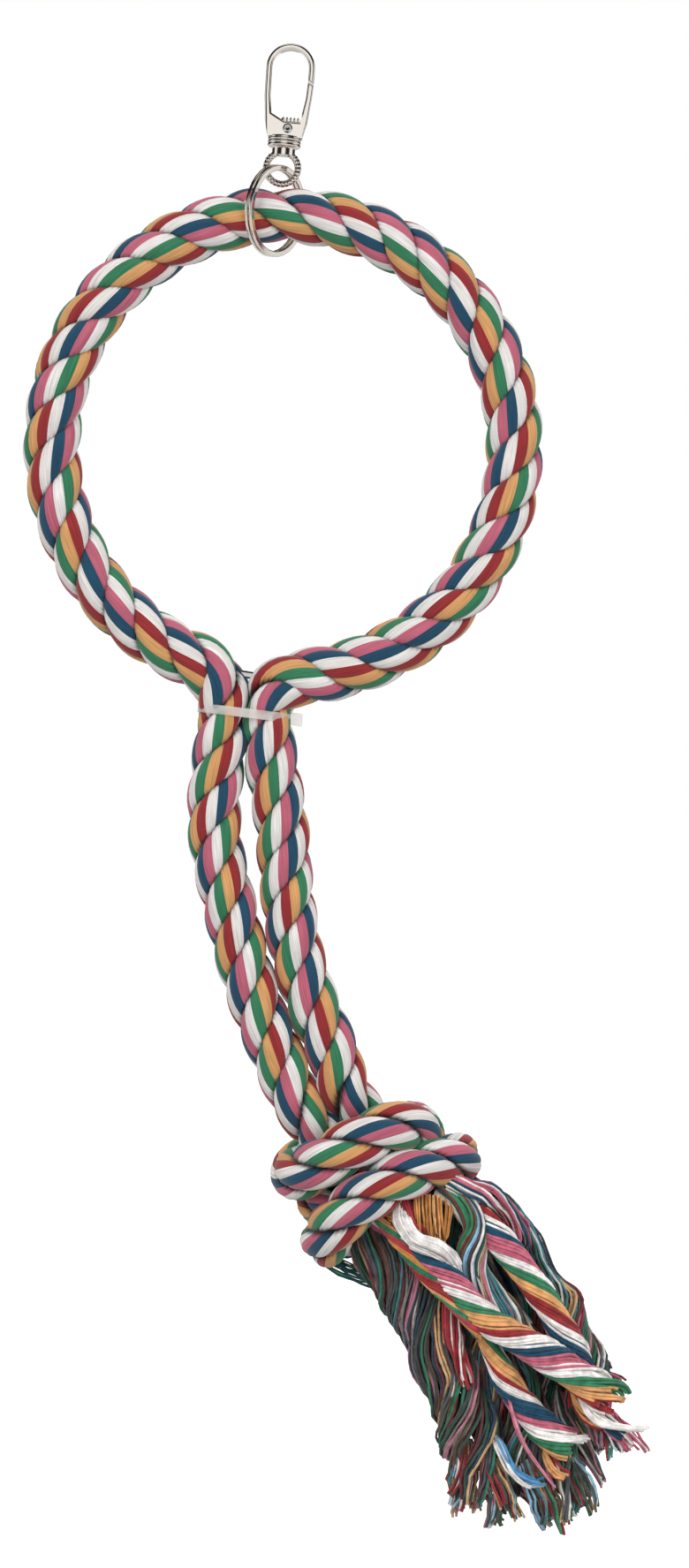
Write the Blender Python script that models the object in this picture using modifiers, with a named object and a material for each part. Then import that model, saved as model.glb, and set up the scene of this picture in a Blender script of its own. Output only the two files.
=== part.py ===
"""Bird swing: a rope ring on a steel wire hoop, hung from a swivel snap hook, with a knotted rope tail.

The origin is the inside top of the hook, where it hangs. X is to the right, Y is away from the viewer
and Z is up, so the ring lies in the XZ plane. All lengths are in metres.
"""

import math

import bmesh
import bpy
import numpy as np
from mathutils import Matrix, Vector

MM = 0.001

# Clearances
GAP = 0.3 * MM
RUNNING_GAP = 0.3 * MM
KNOT_GAP = 0.6 * MM
KNUCKLE_GAP = 0.5 * MM

# Snap hook, in its own upright frame below the hang point
HOOK_TILT = math.radians(5.0)
LOOP_WIDTH = 13.2 * MM
BOW_WIDTH = 1.6 * MM
HOOK_DEPTH = 4.6 * MM
LOOP_HEIGHT = 17.6 * MM
NOSE_DROP = 8.2 * MM
SIDE_DRAW = 0.2 * MM
FORK_TOP_WIDTH = 11.5 * MM
FORK_FOOT_WIDTH = 9.6 * MM
CHEEK_NOTCH = 1.9 * MM
SLOT_WIDTH = 2.6 * MM
SLOT_WALL = 2.0 * MM
COLLAR_DIAMETER = 8.8 * MM
COLLAR_HEIGHT = 2.8 * MM
COLLAR_GROOVE = 0.45 * MM

# Gate, its rivet and its spring
GATE_ARM_WIDTH = 1.6 * MM
GATE_HUB_DIAMETER = 4.0 * MM
PIN_OFFSET = 0.6 * MM
PIN_DIAMETER = 1.5 * MM
PIN_HEAD_DIAMETER = 2.6 * MM
PIN_HEAD_HEIGHT = 0.4 * MM
SERRATIONS = 5
SERRATION_DEPTH = 0.35 * MM
SPRING_WIRE = 0.35 * MM
SPRING_DIAMETER = 1.6 * MM
SPRING_TURNS = 4

# Swivel eye
POST_DIAMETER = 2.3 * MM
POST_HEAD_DIAMETER = 3.6 * MM
POST_HEAD_HEIGHT = 1.0 * MM
SOCKET_FLOOR = 1.2 * MM
FLANGE_DIAMETER = 6.2 * MM
FLANGE_HEIGHT = 1.8 * MM
FLANGE_FLUTES = 16
FLUTE_DEPTH = 0.2 * MM
EYE_WIRE = 1.7 * MM
EYE_DIAMETER = 8.6 * MM

# Split ring
LINK_DIAMETER = 25.0 * MM
LINK_RADIAL = 1.6 * MM
LINK_AXIAL = 0.9 * MM
LINK_TURN_GAP = 0.5 * MM
LINK_ROOM = 1.93 * MM
LINK_LEAN = math.radians(9.0)
LINK_STEP_ANGLE = math.radians(60.0)

# Rope ring and its wire hoop
ROPE_DIAMETER = 14.0 * MM
RING_DIAMETER = 125.8 * MM
WIRE_DIAMETER = 2.0 * MM
ROPE_UNDER_EYE = 0.5 * MM
RING_OFFSET = 0.3 * MM
LEFT_LEAVES_AT = math.radians(245.0)
RIGHT_BEND_RADIUS = 9.0 * MM

# Cable tie and the knuckles below it, where the tail bends
LEG_GAP = 1.0 * MM
LEFT_LEG_OFFSET = 16.5 * MM
TIE_DROP = 9.6 * MM
TIE_TILT = math.radians(-7.0)
TIE_HEIGHT = 2.5 * MM
TIE_THICKNESS = 0.9 * MM
TIE_HEAD = 3.4 * MM
PINCHED_DIAMETER = 11.2 * MM
KNUCKLE_DROP = 4.6 * MM

# Knot and tassel
KNOT_ROPE_DIAMETER = 10.2 * MM
KNOT_STEP = 3.0 * MM
LEG_LEAD = 5.0 * MM
KNOT_SETTLE_ROUNDS = 500
TASSEL_SETTLE_ROUNDS = 300

# Facets of round pieces
RING_STEPS = 64
HOOP_STEPS = 58
BEND_STEPS = 7
BOW_STEPS = 17
LINK_STEPS = 30
ROUND_STEPS = 24
BEND_STEP = 3.0 * MM
LEG_STEP = 5.0 * MM

# Bend of the rope's left end, from the tie up to the hoop: shares of the way across and up
LEFT_BEND = [(0.0, 0.0), (0.06, 0.27), (0.27, 0.56), (0.60, 0.82)]
LEFT_BEND_BLEND = math.radians(4.6)

# Latitudes of the rounded top of a knuckle
KNUCKLE_LATITUDES = (1.45, 1.1, 0.75, 0.38)

# How the tubes of the knot and tassel are drawn tight: pull early and late, push apart, share between pushes
PULL_EARLY = 0.03
PULL_LATE = 0.005
LATE_FROM = 0.75
PUSH = 0.45
PUSH_SHARE = 0.35
OWN_NEIGHBOURS = 1.7

# Centre lines of the two legs, from the knuckle down: right of the left knuckle, and down from it, in mm
LEFT_LEG_ROUTE = [
    (0.0, 0.0), (-0.9, 7.0), (-1.9, 15.0), (-2.4, 23.0), (-1.9, 30.0), (-0.7, 37.0), (1.2, 44.5),
    (3.4, 54.0), (6.5, 66.0), (10.6, 78.0), (15.6, 90.0),
]
RIGHT_LEG_ROUTE = [
    (12.2, 0.0), (13.4, 7.0), (14.7, 15.0), (15.8, 23.0), (16.5, 30.0), (16.9, 37.0), (17.6, 44.5),
    (18.8, 54.0), (21.6, 66.0), (25.9, 78.0), (31.0, 89.5),
]

# Overhand knot in the pair of legs: across the knot, away from the viewer and down its length, in mm
KNOT_CENTRE = (42.9, 125.0)
KNOT_LEAN = math.radians(24.8)
LEFT_KNOT_ROUTE = [
    (-9.8, 0.5, -26.5), (-8.8, 3.0, -19.0), (-7.5, 6.0, -10.0), (-6.5, 8.5, -1.0), (-10.5, 9.5, 6.0),
    (-18.0, 6.5, 9.5), (-23.0, -1.0, 8.0), (-18.5, -10.0, 3.0), (-9.5, -15.0, -1.0), (1.0, -16.5, -2.8),
    (11.5, -14.0, -3.0), (20.0, -7.0, -1.0), (23.0, 2.5, 1.0), (17.5, 11.5, 0.0), (8.0, 16.5, -1.5),
    (-3.0, 18.0, -3.0), (-12.5, 14.5, -4.0), (-17.0, 6.5, -4.0), (-14.0, -1.5, -4.0), (-7.0, -5.0, -1.5),
    (-1.0, -3.2, 4.2), (3.0, 0.8, 11.5), (3.5, 1.5, 19.0),
]
RIGHT_KNOT_ROUTE = [
    (3.0, 2.2, -24.5), (4.0, 3.5, -18.5), (7.5, 7.5, -13.0), (7.0, 14.0, -11.5), (-1.0, 18.0, -12.5),
    (-10.5, 16.5, -13.5), (-18.0, 10.5, -14.0), (-22.0, 2.0, -13.5), (-20.5, -7.0, -12.5),
    (-12.5, -13.5, -14.0), (-2.0, -16.0, -16.0), (8.0, -15.5, -16.5), (17.0, -9.5, -14.5),
    (21.0, -0.5, -10.5), (16.0, 4.0, -5.0), (12.5, 4.0, 3.0), (13.5, 3.0, 11.0), (14.5, 2.0, 18.0),
]

# Unlaid strands of the two rope ends: route in the same knot frame, then diameter at root, part way and tip
TASSEL_STRANDS = [
    ([(0.5, -13.5, 17.8), (3.5, -15.5, 29.0), (12.0, -17.5, 43.0), (22.0, -16.5, 58.0), (31.0, -13.0, 73.0),
      (36.0, -10.5, 82.0)], 8.0, 10.5, 12.0),
    ([(-7.0, -1.6, 16.4), (-5.0, -3.5, 27.0), (-3.5, -4.0, 44.0), (-4.0, -4.5, 60.0), (-6.5, -4.0, 76.0),
      (-11.0, -3.0, 88.0)], 10.0, 13.5, 16.5),
    ([(3.6, 1.4, 20.6), (6.0, 1.0, 30.5), (9.0, 0.0, 45.0), (9.0, -1.0, 60.0), (8.5, -1.5, 80.0),
      (8.0, -1.5, 101.0)], 9.0, 14.5, 16.5),
    ([(20.5, -7.5, 21.0), (25.0, -10.5, 30.5), (28.0, -11.5, 43.0), (29.0, -10.5, 58.0), (28.5, -7.0, 70.0),
      (27.0, -4.0, 83.0)], 9.0, 10.0, 12.0),
    ([(24.0, 6.0, 21.0), (26.0, 6.5, 30.5), (26.5, 6.0, 44.0), (28.0, 5.5, 58.0), (30.5, 5.0, 72.0),
      (34.0, 5.5, 84.0)], 9.0, 13.5, 14.0),
    ([(14.6, 3.2, 21.6), (13.6, 8.5, 31.5), (12.5, 14.0, 45.0), (13.0, 14.0, 62.0), (15.0, 12.5, 80.0),
      (17.0, 10.5, 97.0)], 9.0, 14.0, 16.0),
]

# Sizes that follow from those above
ROPE_RADIUS = ROPE_DIAMETER / 2
RING_RADIUS = RING_DIAMETER / 2
WIRE_RADIUS = WIRE_DIAMETER / 2
PINCHED_RADIUS = PINCHED_DIAMETER / 2
KNUCKLE_RADIUS = PINCHED_RADIUS
LEG_SPACING = PINCHED_DIAMETER + LEG_GAP
FORK_TOP = -LOOP_HEIGHT
SIDE_DEPTH = -(NOSE_DROP + LOOP_HEIGHT) / 2
PIN_DEPTH = FORK_TOP - CHEEK_NOTCH - GATE_HUB_DIAMETER / 2
SLOT_FLOOR = PIN_DEPTH - GATE_HUB_DIAMETER / 2 - RUNNING_GAP
COLLAR_FOOT = SLOT_FLOOR - COLLAR_HEIGHT
FLANGE_TOP = COLLAR_FOOT - RUNNING_GAP
EYE_CENTRE = FLANGE_TOP - FLANGE_HEIGHT - EYE_DIAMETER / 2 + EYE_WIRE / 2
EYE_BAR = EYE_CENTRE - EYE_DIAMETER / 2
PIN_BORE_RADIUS = PIN_DIAMETER / 2 + RUNNING_GAP
NOSE_REACH = math.hypot(LOOP_WIDTH / 2 - BOW_WIDTH - PIN_OFFSET, -NOSE_DROP - PIN_DEPTH)
LAY_ALONG_Y = Matrix.Rotation(math.pi / 2, 4, "X")
HOOK_AXES = Matrix.Rotation(HOOK_TILT, 4, "Y")
EYE_BAR_POINT = HOOK_AXES @ Vector((0.0, 0.0, EYE_BAR))
EYE_CENTRE_POINT = HOOK_AXES @ Vector((0.0, 0.0, EYE_CENTRE))
ROPE_TOP = EYE_BAR_POINT.z - EYE_WIRE / 2 - ROPE_UNDER_EYE - ROPE_RADIUS
RING_CENTRE = Vector((EYE_CENTRE_POINT.x + RING_OFFSET, 0.0, ROPE_TOP - RING_RADIUS))
LINK_MID_RADIUS = (LINK_DIAMETER - LINK_RADIAL) / 2
LINK_TURN = -math.acos((ROPE_RADIUS + LINK_ROOM) / (LINK_DIAMETER / 2 - LINK_RADIAL))
LINK_PITCH = LINK_AXIAL + LINK_TURN_GAP
TIE_CENTRE_Z = RING_CENTRE.z - RING_RADIUS - TIE_DROP
KNUCKLE_Z = TIE_CENTRE_Z - KNUCKLE_DROP
LEFT_KNUCKLE = Vector((RING_CENTRE.x - LEFT_LEG_OFFSET, 0.0, KNUCKLE_Z))
RIGHT_KNUCKLE = LEFT_KNUCKLE + Vector((LEG_SPACING, 0.0, 0.0))


def clear_scene():
    """Remove what the scene starts with."""
    for obj in list(bpy.data.objects):
        bpy.data.objects.remove(obj, do_unlink=True)


def new_collection(name):
    """Add a collection to the scene."""
    collection = bpy.data.collections.new(name)
    bpy.context.scene.collection.children.link(collection)
    return collection


def new_material(name, colour, roughness, metallic):
    """Make a plain Principled material."""
    material = bpy.data.materials.new(name)
    material.use_nodes = True
    shader = material.node_tree.nodes["Principled BSDF"]
    shader.inputs["Base Color"].default_value = (*colour, 1.0)
    shader.inputs["Roughness"].default_value = roughness
    shader.inputs["Metallic"].default_value = metallic
    material.diffuse_color = (*colour, 1.0)
    return material


def add_object(name, data, collection):
    """Put mesh or curve data into a collection as a named object."""
    obj = bpy.data.objects.new(name, data)
    collection.objects.link(obj)
    return obj


def add_empty(name, collection, location, parent=None):
    """Add an empty that marks a joint's axis."""
    empty = add_object(name, None, collection)
    empty.parent = parent
    empty.location = location
    return empty


def adopt(name, collection):
    """Name the primitive that was just added and move it to a collection."""
    obj = bpy.context.object
    obj.name = name
    for holder in list(obj.users_collection):
        holder.objects.unlink(obj)
    collection.objects.link(obj)
    return obj


def as_mesh(obj, collection):
    """Replace a curve object, or one with modifiers, by its evaluated mesh with welded caps."""
    graph = bpy.context.evaluated_depsgraph_get()
    mesh = bpy.data.meshes.new_from_object(obj.evaluated_get(graph))
    form = bmesh.new()
    form.from_mesh(mesh)
    bmesh.ops.remove_doubles(form, verts=form.verts, dist=1e-7)
    bmesh.ops.recalc_face_normals(form, faces=form.faces)
    form.to_mesh(mesh)
    form.free()
    name = obj.name
    matrix = obj.matrix_world.copy()
    bpy.data.objects.remove(obj, do_unlink=True)
    solid = add_object(name, mesh, collection)
    solid.matrix_world = matrix
    return solid


def shade(obj):
    """Shade a round piece smooth, with its corners sharp."""
    obj.data.shade_smooth()
    obj.data.set_sharp_from_angle(angle=math.radians(40.0))


def combine(target, other, operation):
    """Apply a Boolean of another object to a mesh object and keep the other as a hidden guide."""
    other.hide_render = True
    other.display_type = "WIRE"
    bpy.context.view_layer.update()
    modifier = target.modifiers.new(other.name, "BOOLEAN")
    modifier.operation = operation
    modifier.object = other
    graph = bpy.context.evaluated_depsgraph_get()
    mesh = bpy.data.meshes.new_from_object(target.evaluated_get(graph))
    target.modifiers.remove(modifier)
    target.data = mesh


def plate(name, outlines, thickness, collection):
    """Make an upright plate from flat outlines in X and Z, centred on Y; inner outlines are holes."""
    curve = bpy.data.curves.new(name, "CURVE")
    curve.dimensions = "2D"
    curve.fill_mode = "BOTH"
    curve.extrude = thickness / 2
    for outline in outlines:
        spline = curve.splines.new("POLY")
        spline.points.add(len(outline) - 1)
        for point, (x, z) in zip(spline.points, outline):
            point.co = (x, z, 0.0, 1.0)
        spline.use_cyclic_u = True
    solid = as_mesh(add_object(name, curve, collection), collection)
    solid.data.transform(Matrix.Rotation(math.pi / 2, 4, "X"))
    return solid


def turned(name, profile, collection, steps=ROUND_STEPS):
    """Turn a profile of radius and height, listed from the top down, about Z."""
    mesh = bpy.data.meshes.new(name)
    edges = [(i, i + 1) for i in range(len(profile) - 1)]
    mesh.from_pydata([(radius, 0.0, height) for radius, height in profile], edges, [])
    obj = add_object(name, mesh, collection)
    screw = obj.modifiers.new("turn", "SCREW")
    screw.steps = steps
    screw.render_steps = steps
    screw.use_merge_vertices = True
    screw.merge_threshold = 1e-6
    bpy.context.view_layer.update()
    return as_mesh(obj, collection)


def tube(name, points, radii, collection, resolution=2, cyclic=False):
    """Make a tube along points, with a radius at each of them."""
    curve = bpy.data.curves.new(name, "CURVE")
    curve.dimensions = "3D"
    curve.bevel_depth = 1.0
    curve.bevel_resolution = resolution
    curve.use_fill_caps = not cyclic
    spline = curve.splines.new("POLY")
    spline.points.add(len(points) - 1)
    for spline_point, point, radius in zip(spline.points, points, radii):
        spline_point.co = (*point, 1.0)
        spline_point.radius = radius
    spline.use_cyclic_u = cyclic
    return add_object(name, curve, collection)


def round_bar(name, radius, place, collection):
    """A round bar along Y, longer than the hook is deep, through a place in X and Z."""
    length = 2 * HOOK_DEPTH
    bar = turned(name, [(0.0, length), (radius, length), (radius, -length), (0.0, -length)], collection)
    bar.data.transform(Matrix.Translation((place[0], 0.0, place[1])) @ LAY_ALONG_Y)
    return bar


def arc(centre, radius, start, end, count):
    """Points of an arc in the XZ plane, as pairs."""
    angles = np.linspace(start, end, count)
    return [(centre[0] + radius * math.cos(a), centre[1] + radius * math.sin(a)) for a in angles]


def smooth_route(points, step):
    """Read evenly spaced points from a smooth curve through a route's own points."""
    given = np.array(points, dtype=float)
    padded = np.vstack([2 * given[0] - given[1], given, 2 * given[-1] - given[-2]])
    fine = []
    for i in range(1, len(padded) - 2):
        p0, p1, p2, p3 = padded[i - 1:i + 3]
        for t in np.linspace(0.0, 1.0, 24, endpoint=False):
            fine.append(0.5 * (2 * p1 + (p2 - p0) * t + (2 * p0 - 5 * p1 + 4 * p2 - p3) * t ** 2
                               + (3 * p1 - p0 - 3 * p2 + p3) * t ** 3))
    fine.append(given[-1])
    fine = np.array(fine)
    travel = np.concatenate([[0.0], np.cumsum(np.linalg.norm(np.diff(fine, axis=0), axis=1))])
    count = max(3, int(round(travel[-1] / step)) + 1)
    wanted = np.linspace(0.0, travel[-1], count)
    return np.column_stack([np.interp(wanted, travel, fine[:, axis]) for axis in range(given.shape[1])])


def spacings(routes, radii, step):
    """Pair up the points that must stay apart, and say how far: points of two routes, or far along one."""
    owner = np.concatenate([np.full(len(route), i) for i, route in enumerate(routes)])
    place = np.concatenate([np.arange(len(route)) for route in routes])
    radius = np.concatenate(radii)
    first, second = np.triu_indices(len(owner), 1)
    need = radius[first] + radius[second]
    same = owner[first] == owner[second]
    near = same & (np.abs(place[first] - place[second]) * step < OWN_NEIGHBOURS * need)
    keep = ~near
    return first[keep], second[keep], need[keep]


def least_gap(routes, radii, step):
    """Least gap between the tubes of some routes, and of each tube to itself, measured on their points."""
    points = np.vstack(routes)
    first, second, need = spacings(routes, radii, step)
    return float(np.min(np.linalg.norm(points[first] - points[second], axis=1) - need))


def settle(routes, radii, gap, step, rounds, held=()):
    """Draw tubes tight and push them apart until each keeps its gap; held tubes and all ends stay put."""
    routes = [np.array(route) for route in routes]
    everything = routes + [np.array(route) for route in held[0]] if held else routes
    all_radii = list(radii) + list(held[1]) if held else list(radii)
    first, second, need = spacings(everything, all_radii, step)
    lengths = [len(route) for route in everything]
    starts = np.concatenate([[0], np.cumsum(lengths)])
    points = np.vstack(everything)
    free = np.zeros(len(points), dtype=bool)
    for i in range(len(routes)):
        free[starts[i] + 1:starts[i + 1] - 1] = True
    for turn in range(rounds):
        pull = PULL_EARLY if turn < rounds * LATE_FROM else PULL_LATE
        middle = points.copy()
        middle[1:-1] = (points[:-2] + points[2:]) / 2
        points[free] += pull * (middle[free] - points[free])
        apart = points[first] - points[second]
        distance = np.linalg.norm(apart, axis=1)
        short = need + gap - distance
        close = short > 0
        push = apart[close] / np.maximum(distance[close], 1e-9)[:, None] * (PUSH * short[close])[:, None]
        moves = np.zeros_like(points)
        counts = np.ones(len(points))
        np.add.at(moves, first[close], push)
        np.add.at(moves, second[close], -push)
        np.add.at(counts, first[close], PUSH_SHARE)
        np.add.at(counts, second[close], PUSH_SHARE)
        points[free] += (moves / counts[:, None])[free]
    return [points[starts[i]:starts[i + 1]] for i in range(len(routes))]


def knot_point(u, v, w):
    """Turn a place in the knot's frame, in mm, into a point of the model."""
    across = u * math.cos(KNOT_LEAN) + w * math.sin(KNOT_LEAN)
    up = u * math.sin(KNOT_LEAN) - w * math.cos(KNOT_LEAN)
    return np.array([
        LEFT_KNUCKLE.x + KNOT_CENTRE[0] * MM + across * MM,
        v * MM,
        KNUCKLE_Z - KNOT_CENTRE[1] * MM + up * MM,
    ])


def height_on_arc(across, reach):
    """Height, in the hook's frame, of a point on an arc about the gate's pin."""
    return PIN_DEPTH + math.sqrt(reach ** 2 - (across - PIN_OFFSET) ** 2)


def make_hook_frame(parts, cutters, metal, axis):
    """Hook body: bow with its nose, a fork for the gate, and a round collar with the swivel's socket."""
    half = LOOP_WIDTH / 2
    inner = half - BOW_WIDTH
    arch = (0.0, -inner)
    fork = FORK_TOP_WIDTH / 2
    foot = FORK_FOOT_WIDTH / 2
    right_cheek = fork - GATE_ARM_WIDTH - GAP
    notch_floor = FORK_TOP - CHEEK_NOTCH
    outline = [(-foot, SLOT_FLOOR), (-fork, notch_floor), (-half + SIDE_DRAW, SIDE_DEPTH)]
    outline += arc(arch, half, math.pi, 0.0, BOW_STEPS)
    outline += [(half, height_on_arc(half, NOSE_REACH)), (inner, -NOSE_DROP)]
    outline += arc(arch, inner, 0.0, math.pi, BOW_STEPS - 2)
    outline += [(-inner + SIDE_DRAW, SIDE_DEPTH), (-fork + BOW_WIDTH, FORK_TOP)]
    outline += [(-PIN_OFFSET, notch_floor), (right_cheek, notch_floor)]
    outline += [(foot, SLOT_FLOOR)]
    frame = plate("hook_frame", [outline], HOOK_DEPTH, parts)
    rib = COLLAR_DIAMETER / 2
    waist = rib - COLLAR_GROOVE
    top = SLOT_FLOOR + GAP
    band = (top - COLLAR_FOOT) / 5
    profile = [(0.0, top), (waist, top), (rib, top - band / 2), (rib, top - 1.8 * band)]
    profile += [(waist, top - 2.2 * band), (waist, top - 2.6 * band), (rib, top - 3.0 * band)]
    profile += [(rib, top - 4.4 * band), (waist, COLLAR_FOOT), (0.0, COLLAR_FOOT)]
    collar = turned("collar_solid", profile, cutters)
    combine(frame, collar, "UNION")
    slot_left = -fork + SLOT_WALL
    reach = LOOP_WIDTH
    slot_outline = [(slot_left, SLOT_FLOOR), (reach, SLOT_FLOOR), (reach, FORK_TOP), (slot_left, FORK_TOP)]
    combine(frame, plate("gate_slot", [slot_outline], SLOT_WIDTH, cutters), "DIFFERENCE")
    head_room = POST_HEAD_DIAMETER / 2 + RUNNING_GAP
    bore = POST_DIAMETER / 2 + RUNNING_GAP
    shoulder = COLLAR_FOOT + SOCKET_FLOOR
    socket = [(0.0, SLOT_FLOOR + GAP), (head_room, SLOT_FLOOR + GAP), (head_room, shoulder)]
    socket += [(bore, shoulder), (bore, COLLAR_FOOT - GAP), (0.0, COLLAR_FOOT - GAP)]
    combine(frame, turned("swivel_socket", socket, cutters), "DIFFERENCE")
    combine(frame, round_bar("pin_hole", PIN_BORE_RADIUS, (PIN_OFFSET, PIN_DEPTH), cutters), "DIFFERENCE")
    frame.data.materials.append(metal)
    frame.parent = axis


def make_gate(parts, cutters, metal, hinge):
    """Gate: a hub on the pin, an arm up the open side to the nose, and a serrated thumb edge."""
    half = LOOP_WIDTH / 2
    fork = FORK_TOP_WIDTH / 2
    hub = GATE_HUB_DIAMETER / 2
    notch_floor = FORK_TOP - CHEEK_NOTCH
    reach = NOSE_REACH - GAP
    thumb_right = fork - GATE_ARM_WIDTH
    thumb_left = PIN_OFFSET - hub
    thumb_top = notch_floor + 3 * SERRATION_DEPTH
    arm = half - GATE_ARM_WIDTH
    outline = [(arm, height_on_arc(arm, reach)), (arm - SIDE_DRAW, SIDE_DEPTH)]
    outline += [(thumb_right, thumb_top + GATE_ARM_WIDTH)]
    tooth = (thumb_right - thumb_left) / (2 * SERRATIONS + 1)
    for i in range(2 * SERRATIONS + 2):
        height = thumb_top - (i % 2) * SERRATION_DEPTH
        outline.append((thumb_right - i * tooth, height))
    outline += arc((PIN_OFFSET, PIN_DEPTH), hub, math.pi, 1.75 * math.pi, 10)
    outline += [(FORK_FOOT_WIDTH / 2, SLOT_FLOOR + RUNNING_GAP), (fork, notch_floor)]
    outline += [(half - SIDE_DRAW, SIDE_DEPTH), (half, height_on_arc(half, reach))]
    local = [(x - PIN_OFFSET, z - PIN_DEPTH) for x, z in reversed(outline)]
    gate = plate("hook_gate", [local], SLOT_WIDTH - 2 * RUNNING_GAP, parts)
    combine(gate, round_bar("gate_bore", PIN_BORE_RADIUS, (0.0, 0.0), cutters), "DIFFERENCE")
    gate.data.materials.append(metal)
    gate.parent = hinge


def make_pin(parts, metal, axis):
    """Rivet through the fork's cheeks, with a low head at each end."""
    shank = PIN_DIAMETER / 2
    head = PIN_HEAD_DIAMETER / 2
    seat = HOOK_DEPTH / 2 + RUNNING_GAP / 2
    end = seat + PIN_HEAD_HEIGHT
    profile = [(0.0, end), (head * 0.7, end), (head, end - PIN_HEAD_HEIGHT / 2), (head, seat), (shank, seat)]
    profile += [(radius, -height) for radius, height in reversed(profile)]
    pin = turned("gate_pin", profile, parts)
    pin.data.transform(Matrix.Translation((PIN_OFFSET, 0.0, PIN_DEPTH)) @ LAY_ALONG_Y)
    shade(pin)
    pin.data.materials.append(metal)
    pin.parent = axis


def make_spring(parts, metal, axis):
    """Coil spring that stands on the slot's floor, beside the hub, and pushes the thumb edge up."""
    radius = (SPRING_DIAMETER - SPRING_WIRE) / 2
    left = -FORK_TOP_WIDTH / 2 + SLOT_WALL + GAP + SPRING_DIAMETER / 2
    foot = SLOT_FLOOR + GAP + SPRING_WIRE / 2
    top = FORK_TOP - CHEEK_NOTCH - 2 * SPRING_WIRE
    steps = SPRING_TURNS * 10
    points = []
    for i in range(steps + 1):
        turn = 2 * math.pi * SPRING_TURNS * i / steps
        rise = foot + (top - foot) * i / steps
        points.append((left + radius * math.cos(turn), radius * math.sin(turn), rise))
    pitch = (top - foot) / SPRING_TURNS
    print(f"gate spring, least gap to itself: {(pitch - SPRING_WIRE) / MM:.2f} mm")
    spring = tube("gate_spring", points, [SPRING_WIRE / 2] * len(points), parts, resolution=1)
    spring.data.materials.append(metal)
    spring.parent = axis


def make_swivel_eye(parts, cutters, metal, axis):
    """Eye on a post: a head inside the hook's socket, a fluted flange below it and a round eye."""
    post = POST_DIAMETER / 2
    head = POST_HEAD_DIAMETER / 2
    flange = FLANGE_DIAMETER / 2
    shoulder = COLLAR_FOOT + SOCKET_FLOOR + RUNNING_GAP
    foot = FLANGE_TOP - FLANGE_HEIGHT
    profile = [(0.0, shoulder + POST_HEAD_HEIGHT), (head * 0.8, shoulder + POST_HEAD_HEIGHT)]
    profile += [(head, shoulder + POST_HEAD_HEIGHT * 0.6), (head, shoulder), (post, shoulder)]
    profile += [(post, FLANGE_TOP)]
    profile += [(flange, FLANGE_TOP), (flange, foot), (0.0, foot)]
    eye = turned("swivel_eye", profile, parts, steps=2 * FLANGE_FLUTES)
    for vertex in eye.data.vertices:
        rim = math.hypot(vertex.co.x, vertex.co.y)
        flute = round(math.atan2(vertex.co.y, vertex.co.x) / (math.pi / FLANGE_FLUTES)) % 2
        if rim > flange - FLUTE_DEPTH and flute == 1:
            vertex.co.x *= 1 - FLUTE_DEPTH / flange
            vertex.co.y *= 1 - FLUTE_DEPTH / flange
    bpy.ops.mesh.primitive_torus_add(
        major_radius=EYE_DIAMETER / 2, minor_radius=EYE_WIRE / 2, major_segments=28, minor_segments=8,
        location=(0.0, 0.0, EYE_CENTRE), rotation=(math.pi / 2, 0.0, 0.0))
    combine(eye, adopt("eye_ring", cutters), "UNION")
    eye.data.materials.append(metal)
    eye.parent = axis


def split_ring_route():
    """Two flat turns of wire that step from one level to the other where the wire's ends meet."""
    start = LINK_STEP_ANGLE / 2
    points = []
    for angle in np.linspace(start, 4 * math.pi - start, 2 * LINK_STEPS):
        climb = (angle - 2 * math.pi) / LINK_STEP_ANGLE
        rise = LINK_PITCH * max(-0.5, min(0.5, climb))
        across = LINK_MID_RADIUS * math.sin(angle)
        away = LINK_MID_RADIUS * math.cos(angle)
        points.append(Vector((-across, away, rise)))
    return points


def make_split_ring(parts, cutters, metal):
    """Split ring: flat wire wound twice, turned across the rope, through the swivel's eye."""
    wide = LINK_RADIAL / 2
    thick = LINK_AXIAL / 2
    chamfer = min(wide, thick) * 0.4
    corners = [(wide, thick - chamfer), (wide - chamfer, thick)]
    corners += [(chamfer - wide, thick), (-wide, thick - chamfer)]
    corners += [(-x, -y) for x, y in corners]
    section = bpy.data.curves.new("split_ring_section", "CURVE")
    section.dimensions = "2D"
    spline = section.splines.new("POLY")
    spline.points.add(len(corners) - 1)
    for point, (x, y) in zip(spline.points, corners):
        point.co = (x, y, 0.0, 1.0)
    spline.use_cyclic_u = True
    section_object = add_object("split_ring_section", section, cutters)
    section_object.hide_render = True
    section_object.display_type = "WIRE"
    points = split_ring_route()
    count = len(points)
    passes = [(i, j) for i in range(count) for j in range(i + count // 4, count)]
    closest = min((points[i] - points[j]).length for i, j in passes)
    print(f"split ring, least gap to itself: {(closest - LINK_AXIAL) / MM:.2f} mm")
    ring = tube("split_ring", points, [1.0] * count, parts)
    ring.data.bevel_mode = "OBJECT"
    ring.data.bevel_object = section_object
    ring.data.twist_mode = "Z_UP"
    lean = Matrix.Rotation(LINK_LEAN, 4, "Y")
    turn_about_up = Matrix.Rotation(LINK_TURN, 4, "Z")
    lay_down = Matrix.Rotation(math.pi / 2, 4, "Y")
    drop = lean @ Vector((0.0, 0.0, -LINK_MID_RADIUS))
    ring.matrix_world = Matrix.Translation(EYE_CENTRE_POINT + drop) @ lean @ turn_about_up @ lay_down
    bpy.context.view_layer.update()
    as_mesh(ring, parts).data.materials.append(metal)


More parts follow.
